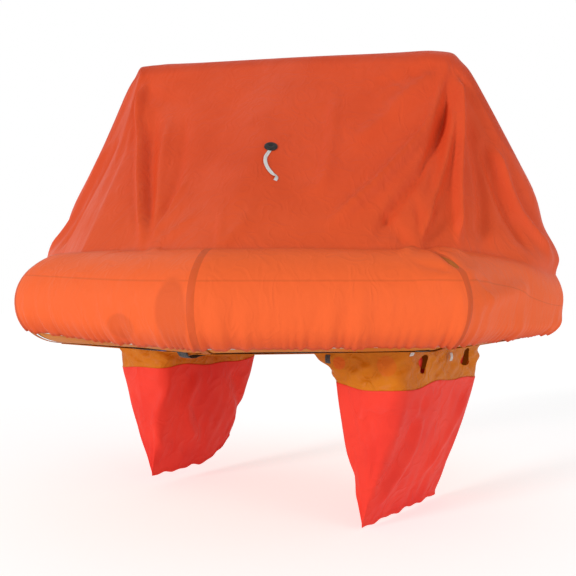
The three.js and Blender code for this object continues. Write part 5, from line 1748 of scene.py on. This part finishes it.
    def build_tabs(self) -> None:
        """The webbing tabs at the collar's corners, folded over its upper edge."""
        width, length, thickness = self.tab_size
        spots = [(self.inner_edge - self.flare, -1), (self.inner_edge - self.flare, 1),
                 (self.outer_edge + self.flare, -1), (self.outer_edge + self.flare, 1)]
        if self.number == 0:
            self.build_loose_tab("Collar_Tab_White", self.outer_edge + 0.020, 0.012, 0.034,
                                 WHITE_WEBBING, "white_webbing")
            self.build_loose_tab("Collar_Tab_Grey", self.inner_edge + 0.030, -self.half_width - 0.062, 0.028,
                                 GREY_WEBBING, "grey_webbing")
        for number, (edge, end) in enumerate(spots):
            way = 1 if edge > self.seam_radius else -1
            seat = edge + way * (0.0006 + thickness / 2)
            drop = np.linspace(0.0006, length + 0.0003, 12)
            belly = way * 0.0016 * np.sin(np.linspace(0, math.pi, 12))
            drawn_in = self.flare - self.flare * (1 - drop / self.collar_height) ** 2
            path = self.in_raft(seat + belly - way * drawn_in, end * self.tab_offset, -drop)
            name = f"{self.label}_Bag_Tab_{number + 1}"
            tab = sweep(name, path, flat_section(width, thickness * 0.8), self.way(1.0, 0.0) * way)
            place(tab, WHITE_WEBBING, "white_webbing", [f"{self.label.lower()}_bag_tab_{number + 1}"])

    def build_loose_tab(self, name: str, radial: float, width: float, start: float, finish: Finish,
                        slot: str) -> None:
        """A small webbing end that hangs loose on the collar's outside.

        Args:
            name: the piece's name.
            radial: distance from the raft's axis.
            width: distance along the bag.
            start: how far under the floor its top is.
            finish: its finish.
            slot: the record's slot.
        """
        drop = np.linspace(start, start + 0.030, 10)
        away = 0.003 + 0.004 * np.sin(np.linspace(0, math.pi, 10))
        outward = abs(width) < self.half_width
        path = self.in_raft(radial + away * outward, width - away * (not outward), -drop)
        hint = self.way(1.0, 0.0) if outward else -self.way(0.0, 1.0)
        tab = sweep(name, path, flat_section(0.020, 0.0022), hint)
        place(tab, finish, slot)

    def build(self) -> None:
        """Builds the bag."""
        self.build_collar()
        self.build_hole_flaps()
        self.build_bag()
        self.build_tabs()


@dataclass
class UnderWebbing:
    """Straps and tags under the floor."""

    ring: Ring
    strap_offset: float = 0.250
    strap_width: float = 0.042
    strap_thickness: float = 0.0025
    sag: float = 0.034
    strap_heading: float = -112.5
    underside: float = -82.5
    seat: float = 0.1490
    seat_length: float = 0.020
    slack: tuple[tuple[float, float], ...] = ((0.02, 0.5), (0.05, 0.62), (0.12, 0.45), (0.5, 0.3))
    handle_length: float = 0.112
    handle_width: float = 0.020
    handle_centre: float = 2.36
    tag_length: float = 0.024
    retrieval_length: float = 0.044

    def under_tube(self, aside: float) -> tuple[float, float]:
        """Reach and height of a place on the facet under the tube."""
        angle = math.radians(self.underside)
        out = self.seat + self.strap_thickness / 2
        return (self.ring.apothem + out * math.cos(angle) - aside * math.sin(angle),
                self.ring.height + out * math.sin(angle) + aside * math.cos(angle))

    def build_righting_strap(self) -> None:
        """The righting strap: slack webbing from one underside of the ring to the other."""
        heading = math.radians(self.strap_heading)
        way = np.array([math.cos(heading), math.sin(heading), 0])
        aside = np.array([-way[1], way[0], 0]) * self.strap_offset
        end = self.under_tube(-self.seat_length / 4)
        half = [self.under_tube(self.seat_length * 3 / 4), end]
        half += [(end[0] - inward * self.ring.apothem, end[1] - drop * self.sag)
                 for inward, drop in self.slack]
        flat = half + [(-reach, height) for reach, height in reversed(half)]
        line = spline(flat, 90)
        path = aside + way * line[:, :1] + UP * line[:, 1:]
        strap = sweep("Righting_Strap", path, flat_section(self.strap_width, self.strap_thickness), UP)
        place(strap, BLACK_WEBBING, "black_webbing", ["righting_strap"])

    def strip(self, name: str, lap: float, length: float, finish: Finish, slot: str, node: str) -> None:
        """A short webbing piece that lies along the tube's underside.

        Args:
            name: the piece's name.
            lap: where its middle is.
            length: its length.
            finish: its finish.
            slot: the record's slot.
            node: the CAD node that it stands for.
        """
        half = length / 2 / self.ring.side_length
        laps = np.linspace(lap - half, lap + half, 16)
        out_by = self.seat + self.strap_thickness / 2 + 0.0015 * np.sin(np.linspace(0, math.pi, 16))
        normal = self.ring.facing(lap, self.underside)
        path = self.ring.point(laps, 0.0, 0.0) + normal * out_by[:, None]
        piece = sweep(name, path, flat_section(self.handle_width, self.strap_thickness), normal)
        place(piece, finish, slot, [node])

    def build(self) -> None:
        """Builds the straps and tags."""
        self.build_righting_strap()
        self.strip("Handle_Strap", self.handle_centre, self.handle_length, BLACK_WEBBING, "black_webbing",
                   "handle_strap")
        beside = self.handle_length / 2 + self.tag_length / 2 + 0.0003
        tag = self.handle_centre - beside / self.ring.side_length
        self.strip("Blue_Tag", tag, self.tag_length, BLUE_WEBBING, "blue_tag", "blue_tag")
        retrieval = 1 + (self.ring.tape_width + self.retrieval_length) / 2 / self.ring.side_length + 0.01
        self.strip("Retrieval_Strap", retrieval, self.retrieval_length, GREY_WEBBING, "grey_webbing",
                   "retrieval_strap")


@dataclass
class GasGear:
    """The gas cylinder in its straps, its head, the hose and the inlet in the tube."""

    ring: Ring
    radius: float = 0.050
    length: float = 0.360
    y: float = 0.560
    depth: float = 0.0526
    neck_radius: float = 0.017
    neck_length: float = 0.016
    head_radius: float = 0.022
    head_length: float = 0.046
    strap_width: float = 0.038
    strap_thickness: float = 0.002
    strap_spread: float = 0.105
    hose_radius: float = 0.007
    hose_start_reach: float = 0.130
    hose_end_reach: float = 0.070
    inlet_radius: float = 0.015
    inlet_height: float = 0.016
    inlet_lap: float = 6.66
    underside: float = -82.5
    seat: float = 0.1490

    def build_cylinder(self) -> None:
        """The cylinder: a barrel between two domes, with its neck."""
        half = self.length / 2
        turn = np.linspace(0, math.pi / 2, 12)
        dome = [(self.radius * math.sin(a), -half + 0.034 * (1 - math.cos(a))) for a in turn]
        upper = [(self.radius * math.cos(a), half - 0.034 + 0.034 * math.sin(a)) for a in turn[:-3]]
        profile = dome + upper + [(self.neck_radius * 1.25, half - 0.001), (self.neck_radius, half + 0.002),
                                  (self.neck_radius, half + self.neck_length), (0, half + self.neck_length)]
        cylinder = lathe("Gas_Cylinder", profile, np.array([0, self.y, -self.depth]),
                         np.array([1.0, 0, 0]), 96)
        place(cylinder, CYLINDER_PAINT, "cylinder_paint", ["gas_cylinder"])

    def build_straps(self) -> None:
        """Two webbing straps round the cylinder."""
        angle = np.linspace(0, 2 * math.pi, 72, endpoint=False)
        radius = self.radius + 0.0003 + self.strap_thickness / 2
        for number, way in enumerate((-1, 1)):
            loop = np.stack([np.full(72, way * self.strap_spread), self.y + radius * np.cos(angle),
                             -self.depth + radius * np.sin(angle)], -1)
            outward = loop - [way * self.strap_spread, self.y, -self.depth]
            strap = sweep(f"Cylinder_Strap_{number + 1}", loop,
                          flat_section(self.strap_width, self.strap_thickness), outward, closed=True)
            place(strap, BLACK_WEBBING, "black_webbing", [f"cylinder_strap_{number + 1}"])

    def build_head(self) -> float:
        """The brass head: collar, hexagon-like flutes and a domed end. Returns where it starts."""
        start = self.length / 2 + self.neck_length + 0.0003
        r, length = self.head_radius, self.head_length
        profile = [(0, 0), (r * 0.86, 0), (r * 0.9, 0.001), (r * 0.9, length * 0.2), (r * 0.8, length * 0.24),
                   (r, length * 0.3), (r, length * 0.62), (r * 0.86, length * 0.7), (r * 0.82, length * 0.88),
                   (r * 0.6, length * 0.97), (0, length)]
        head = lathe("Cylinder_Head", profile, np.array([start, self.y, -self.depth]), np.array([1.0, 0, 0]),
                     96, flutes=12, flute_depth=0.05)
        place(head, BRASS, "brass", ["cylinder_head"])
        return start

    def build_hose(self, start: float) -> None:
        """The inlet on the tube, and the hose to it along a cubic curve.

        Args:
            start: where the head starts along +X.
        """
        out = self.ring.facing(self.inlet_lap, self.underside)
        seat = self.ring.point(np.array(self.inlet_lap), 0.0, 0.0) + out * self.seat
        r, h = self.inlet_radius, self.inlet_height
        profile = [(0, 0), (r, 0), (r, h * 0.2), (r * 0.94, h * 0.3), (r * 0.9, h * 0.55),
                   (r * 0.84, h * 0.6), (r * 0.8, h * 0.95), (r * 0.72, h), (0, h)]
        inlet = lathe("Inlet_Valve", profile, seat, out, 60, flutes=10, flute_depth=0.04)
        place(inlet, BLACK_RUBBER, "black_rubber", ["inlet_valve"])
        a = np.array([start + self.head_length / 2, self.y + self.head_radius + 0.0003, -self.depth])
        d = seat + out * (h + 0.0003)
        b, c = a + [0, self.hose_start_reach, 0], d + out * self.hose_end_reach
        t = np.linspace(0, 1, 80)[:, None]
        path = (1 - t) ** 3 * a + 3 * t * (1 - t) ** 2 * b + 3 * t**2 * (1 - t) * c + t**3 * d
        place_on = np.linspace(0, 1, 80)
        cuff = 1 + 0.16 * (np.exp(-(place_on / 0.05) ** 4) + np.exp(-((1 - place_on) / 0.05) ** 4))
        hose = sweep("Inflation_Hose", path, round_section(self.hose_radius * 0.93, 20),
                     np.array([0.3, 0.2, 1.0]), cuff)
        place(hose, BLACK_RUBBER, "black_rubber", ["inflation_hose"])

    def build(self) -> None:
        """Builds the gas gear."""
        self.build_cylinder()
        self.build_straps()
        self.build_hose(self.build_head())


@dataclass
class Valves:
    """Topping-up valves with quarter-turn caps, and relief valves, inside the ring."""

    ring: Ring
    topup_laps: tuple[float, float] = (6.3, 6.55)
    relief_laps: tuple[float, float] = (5.7, 5.45)
    elevation: float = 28.0
    base_radius: float = 0.034
    body_radius: float = 0.022
    base_height: float = 0.005
    body_height: float = 0.014
    cap_radius: float = 0.019
    cap_height: float = 0.009
    relief_radius: float = 0.024
    relief_height: float = 0.015

    def seat(self, lap: float) -> tuple[Grid, Grid]:
        """Where a valve stands on the tube and which way it faces."""
        out = self.ring.facing(lap, 180 - self.elevation)
        centre = self.ring.point(np.array(lap), 0.0, 0.0)
        return centre + out * (self.ring.tube_radius + 0.0003), out

    def build_topup(self, number: int, lap: float) -> None:
        """One topping-up valve: a flanged body, and a fluted cap with a grip across it."""
        seat, out = self.seat(lap)
        R, r, b, h = self.base_radius, self.body_radius, self.base_height, self.body_height
        body = lathe(f"Topup_Valve_{number}_Body", [
            (0, 0), (R, 0), (R, b * 0.35), (R * 0.97, b * 0.55), (r + 0.006, b * 0.8), (r + 0.003, b * 1.05),
            (r + 0.001, b + 0.002), (r, b + h * 0.85), (r * 0.95, b + h), (0, b + h)], seat, out, 96)
        place(body, VALVE_PLASTIC, "valve_plastic", [f"topup_valve_{number}_body"])
        base = seat + out * (b + h + 0.0003)
        c, k = self.cap_radius, self.cap_height
        cap = lathe(f"Topup_Valve_{number}_Cap", [
            (0, 0), (c * 0.96, 0), (c, k * 0.12), (c, k * 0.75), (c * 0.93, k * 0.97), (c * 0.8, k),
            (c * 0.74, k * 0.9), (c * 0.3, k * 0.88), (0, k * 0.88)],
            base, out, 144, flutes=24, flute_depth=0.045)
        grip = self.grip(f"Topup_Valve_{number}_Grip", base + out * (k * 0.86), out)
        place(cap, BLACK_RUBBER, "black_rubber", [f"topup_valve_{number}_cap"], f"valve_cap_{number}")
        place(grip, BLACK_RUBBER, "black_rubber", (), f"valve_cap_{number}")

    def grip(self, name: str, base: Grid, out: Grid) -> bpy.types.Object:
        """The cap's grip: a rounded bar, narrower towards its top."""
        first = unit(np.cross(out, UP))
        heights = np.array([0, 0.25, 0.7, 0.9, 0.985, 1.0]) * 0.0088
        scale = np.array([1.0, 0.97, 0.93, 0.86, 0.7, 0.35])
        section = flat_section(0.030, 0.0068, 36)
        path = base + out * heights[:, None]
        return sweep(name, path, section, np.cross(out, first), scale)

    def build_relief(self, number: int, lap: float) -> None:
        """One relief valve: a flange and a ribbed dome."""
        seat, out = self.seat(lap)
        r, h = self.relief_radius, self.relief_height
        relief = lathe(f"Relief_Valve_{number}", [
            (0, 0), (r + 0.006, 0), (r + 0.006, h * 0.18), (r + 0.004, h * 0.27), (r, h * 0.36),
            (r * 0.98, h * 0.7), (r * 0.9, h * 0.92), (r * 0.7, h), (r * 0.5, h * 0.94),
            (r * 0.3, h * 0.98), (0, h)],
            seat, out, 96, flutes=16, flute_depth=0.03)
        place(relief, VALVE_PLASTIC, "valve_plastic", [f"relief_valve_{number}"])

    def build(self) -> None:
        """Builds the valves."""
        for number, lap in enumerate(self.topup_laps, 1):
            self.build_topup(number, lap)
        for number, lap in enumerate(self.relief_laps, 1):
            self.build_relief(number, lap)


@dataclass
class Studio:
    """Camera, lights, floor and white surroundings."""

    place: tuple[float, float, float] = (0.861, -3.293, 0.240)
    looks: tuple[float, float, float] = (-0.2512, 0.9679, -0.0132)
    lens: float = 51.0
    floor_level: float = -0.650
    floor_reach: float = 14.0
    floor_grey: float = 0.86
    surroundings: float = 0.40
    floor_seen: float = 0.57
    floor_lighting: float = 0.34

    def build_camera(self) -> None:
        """The camera of the photograph."""
        data = bpy.data.cameras.new("Camera")
        data.lens = self.lens
        data.sensor_width = 36.0
        camera = bpy.data.objects.new("Camera", data)
        camera.location = self.place
        camera.rotation_euler = Vector(self.looks).to_track_quat("-Z", "Y").to_euler()
        bpy.context.scene.collection.objects.link(camera)
        bpy.context.scene.camera = camera

    def build_sun(self, name: str, strength: float, spread: float, towards: Sequence[float]) -> None:
        """One soft lamp, shining in a direction."""
        data = bpy.data.lights.new(name, "SUN")
        data.energy = strength
        data.angle = math.radians(spread)
        lamp = bpy.data.objects.new(name, data)
        lamp.rotation_euler = Vector(towards).to_track_quat("-Z", "Y").to_euler()
        bpy.context.scene.collection.objects.link(lamp)

    def build_world(self) -> None:
        """White behind the raft, and a softer white that lights it."""
        world = bpy.data.worlds.new("Surroundings")
        bpy.context.scene.world = world
        world.use_nodes = True
        n = Nodes(world.node_tree)
        world.node_tree.nodes.clear()
        ray = n.add("ShaderNodeLightPath")
        seen = n.math("MAXIMUM", ray.outputs["Is Camera Ray"], n.math(
            "MAXIMUM", ray.outputs["Is Glossy Ray"], ray.outputs["Is Transmission Ray"]))
        lighting = n.add("ShaderNodeBackground", {"Color": (1, 1, 1, 1), "Strength": self.surroundings})
        backdrop = n.add("ShaderNodeBackground", {"Color": (1, 1, 1, 1), "Strength": 1.0})
        mix = n.add("ShaderNodeMixShader", {0: seen, 1: lighting.outputs[0], 2: backdrop.outputs[0]})
        n.add("ShaderNodeOutputWorld", {"Surface": mix.outputs[0]})

    def build_floor(self) -> None:
        """A plain pale floor that turns white where nothing shades it."""
        corners = np.array([[x * self.floor_reach, y * self.floor_reach, self.floor_level]
                            for x, y in ((-1, -1), (1, -1), (1, 1), (-1, 1))])
        floor = new_object("Studio_Floor", corners, np.array([[0, 1, 2, 3]]), centre=np.array([0, 0, -9.0]))
        made = bpy.data.materials.new("studio_floor")
        made.use_nodes = True
        n = Nodes(made.node_tree)
        made.node_tree.nodes.clear()
        ray = n.add("ShaderNodeLightPath")
        pale = n.add("ShaderNodeBsdfDiffuse", {"Color": (*[self.floor_grey] * 3, 1)})
        seen = n.add("ShaderNodeEmission", {"Color": (1, 1, 1, 1), "Strength": self.floor_seen})
        lighting = n.add("ShaderNodeEmission", {"Color": (1, 1, 1, 1), "Strength": self.floor_lighting})
        lit = n.add("ShaderNodeMixShader", {0: ray.outputs["Is Camera Ray"], 1: lighting.outputs[0],
                                            2: seen.outputs[0]})
        total = n.add("ShaderNodeAddShader", {0: pale.outputs[0], 1: lit.outputs[0]})
        n.add("ShaderNodeOutputMaterial", {"Surface": total.outputs[0]})
        floor.data.materials.append(made)

    def build(self) -> None:
        """Builds the lights, the surroundings and the floor."""
        bpy.context.scene.view_settings.view_transform = "Standard"
        self.build_world()
        self.build_sun("Key", 1.55, 14, (0.56, 0.80, -0.20))
        self.build_sun("Fill", 0.9, 40, (-0.84, 0.46, -0.12))
        self.build_floor()


FRONT_CREASES = (
    # the right ridge corner's long folds, that sweep down to the left
    Crease(((0.78, 1.10), (1.03, 1.40), (1.29, 1.69), (1.53, 1.90)), 0.011, 0.022, 0.9, 0.2),
    Crease(((0.70, 1.12), (0.90, 1.44), (1.15, 1.76), (1.27, 1.97)), -0.008, 0.018, 0.8, 0.2),
    Crease(((0.69, 1.20), (0.81, 1.55), (0.97, 1.80), (1.01, 1.97)), 0.008, 0.017, 0.9, 0.2),
    Crease(((0.93, 1.06), (1.22, 1.30), (1.48, 1.51)), 0.006, 0.03, 0.3, 0.3),
    Crease(((0.62, 1.05), (0.66, 1.31), (0.71, 1.64), (0.73, 1.96)), 0.012, 0.018, 1.0, 0.12),
    Crease(((0.56, 1.2), (0.50, 1.5), (0.52, 1.8), (0.62, 2.02)), -0.009, 0.03, 0.3, 0.25),
    Crease(((1.61, 1.14), (1.57, 1.51), (1.58, 1.69), (1.81, 1.70)), 0.004, 0.025, 0.4, 0.3),
    # the left ridge corner's upright folds
    Crease(((3.15, 1.05), (3.06, 1.2), (2.88, 1.45), (2.70, 1.73), (2.51, 1.96)), 0.010, 0.018, 1.0, 0.12),
    Crease(((2.91, 1.22), (2.79, 1.46), (2.62, 1.74), (2.48, 1.96)), -0.006, 0.024, 0.4, 0.25),
    Crease(((2.77, 1.23), (2.66, 1.52), (2.55, 1.79), (2.47, 1.96)), 0.006, 0.024, 0.4, 0.25),
    Crease(((2.63, 1.27), (2.50, 1.59), (2.46, 1.84), (2.46, 1.96)), -0.005, 0.024, 0.3, 0.25),
    # the dents at the tube's top
    Crease(((0.41, 2.36), (0.75, 2.56), (0.98, 2.63)), 0.006, 0.03, 0.6, 0.2),
    Crease(((1.0, 2.05), (1.01, 2.25), (1.0, 2.41)), -0.006, 0.02, 0.3, 0.3),
)
END_CREASES = (
    Crease(((0.35, 1.2), (0.25, 1.6), (0.10, 1.92)), 0.010, 0.03, 0.5, 0.2),
    Crease(((0.45, 1.3), (0.38, 1.6), (0.30, 1.95)), -0.008, 0.03, 0.5, 0.2),
    Crease(((3.6, 1.2), (3.72, 1.6), (3.85, 1.92)), 0.009, 0.03, 0.5, 0.2),
    Crease(((3.45, 1.3), (3.5, 1.6), (3.6, 1.95)), -0.007, 0.03, 0.5, 0.2),
)
BACK_CREASES = (
    Crease(((4.95, 1.1), (5.1, 1.4), (5.35, 1.7), (5.5, 1.95)), 0.010, 0.034, 0.5, 0.2),
    Crease(((4.9, 1.15), (4.98, 1.5), (5.05, 1.95)), -0.009, 0.03, 0.4, 0.2),
    Crease(((7.1, 1.08), (6.95, 1.4), (6.75, 1.7), (6.6, 1.95)), 0.010, 0.034, -0.5, 0.2),
    Crease(((7.2, 1.15), (7.1, 1.5), (7.0, 1.95)), -0.009, 0.03, 0.4, 0.2),
    Crease(((7.35, 1.2), (7.4, 1.6), (7.3, 1.98)), 0.010, 0.03, 0.5, 0.2),
    Crease(((4.65, 1.2), (4.6, 1.6), (4.7, 1.98)), 0.010, 0.03, 0.5, 0.2),
)


def fan(start: tuple[float, float], ends: Sequence[tuple[float, float]], depth: float, width: float,
        seed: int) -> tuple[Crease, ...]:
    """Small creases that spread from one place on the cloth.

    Args:
        start: where they meet, as lap and row.
        ends: where each ends.
        depth: the greatest depth.
        width: their width.
        seed: seed of their small differences.

    Returns:
        The creases.
    """
    draw = np.random.default_rng(seed)
    found = []
    for end in ends:
        bend = draw.uniform(-0.04, 0.04, 2)
        middle = ((start[0] + end[0]) / 2 + bend[0], (start[1] + end[1]) / 2 + bend[1])
        found.append(Crease((start, middle, end), depth * draw.uniform(0.5, 1) * draw.choice([-1, 1]),
                            width * draw.uniform(0.7, 1.2), draw.uniform(-0.6, 0.6), 0.35))
    return tuple(found)


SMALL_FANS = (
    *fan((2.47, 1.97), [(2.2, 1.8), (2.3, 1.7), (2.4, 1.62), (2.62, 1.6), (2.75, 1.75), (2.3, 2.2),
                        (2.6, 2.2)], 0.005, 0.016, 61),
    *fan((1.01, 2.0), [(0.75, 1.8), (0.85, 1.7), (1.1, 1.7), (1.25, 1.78), (1.3, 1.9), (0.8, 2.25),
                       (1.2, 2.25)], 0.005, 0.016, 62),
    *fan((1.01, 2.42), [(0.8, 2.3), (0.78, 2.5), (0.82, 2.7), (1.2, 2.3), (1.22, 2.5)], 0.004, 0.014, 63),
    *fan((0.68, 1.02), [(0.8, 1.5), (0.9, 1.62), (1.0, 1.45), (1.15, 1.4), (1.3, 1.32), (1.45, 1.2)],
         0.005, 0.018, 64),
    *fan((3.2, 1.02), [(3.05, 1.5), (2.95, 1.5), (2.8, 1.4), (2.6, 1.25)], 0.004, 0.018, 65),
    *fan((2.0, 2.0), [(1.8, 1.8), (1.9, 1.75), (2.1, 1.78), (2.2, 1.85)], 0.003, 0.016, 66),
    *fan((5.0, 2.0), [(4.8, 1.8), (4.9, 1.7), (5.1, 1.7), (5.2, 1.8), (4.8, 2.3), (5.2, 2.3)],
         0.005, 0.018, 67),
    *fan((7.0, 2.0), [(6.8, 1.8), (6.9, 1.7), (7.1, 1.7), (7.2, 1.8), (6.8, 2.3), (7.2, 2.3)],
         0.005, 0.018, 68),
)
BAG_CREASES = (
    Crease(((0.36, 0.05), (0.40, 0.4), (0.46, 0.75)), 0.012, 0.03, 0.6, 0.2),
    Crease(((0.55, 0.02), (0.60, 0.35), (0.66, 0.8)), -0.014, 0.035, 0.4, 0.2),
    Crease(((0.62, 0.05), (0.56, 0.45), (0.66, 0.9)), 0.012, 0.03, 0.5, 0.2),
    Crease(((0.05, 0.05), (0.10, 0.4), (0.02, 0.8)), 0.012, 0.03, 0.4, 0.2),
    Crease(((0.93, 0.05), (0.88, 0.4), (0.80, 0.8)), -0.012, 0.03, 0.4, 0.2),
    Crease(((0.15, 0.1), (0.2, 0.5), (0.14, 0.85)), 0.010, 0.025, 0.4, 0.2),
    Crease(((0.78, 0.1), (0.73, 0.5), (0.79, 0.85)), 0.010, 0.025, 0.4, 0.2),
)


def main() -> None:
    """Builds the raft from its camera and cord outwards, and reports each piece."""
    logging.basicConfig(level=logging.INFO, format="%(name)s %(message)s")
    studio = Studio()
    studio.build_camera()
    ring = Ring()
    arch = Arch(ring)
    canopy = Canopy(ring, arch, creases=FRONT_CREASES + END_CREASES + BACK_CREASES + SMALL_FANS)
    canopy.build()
    drain = Drain(canopy)
    drain.build_tape()
    drain.build()
    ring.build()
    arch.build()
    DoorFlap(canopy).build()
    BallastBag(0, "Right", 0.640, 0.0, 0.0, BAG_CREASES, near_flare=0.085).build()
    BallastBag(1, "Left", 0.612, 0.095, 0.030, BAG_CREASES, far_inset=0.052).build()
    UnderWebbing(ring).build()
    GasGear(ring).build()
    Valves(ring).build()
    studio.build()


if __name__ == "__main__":
    main()
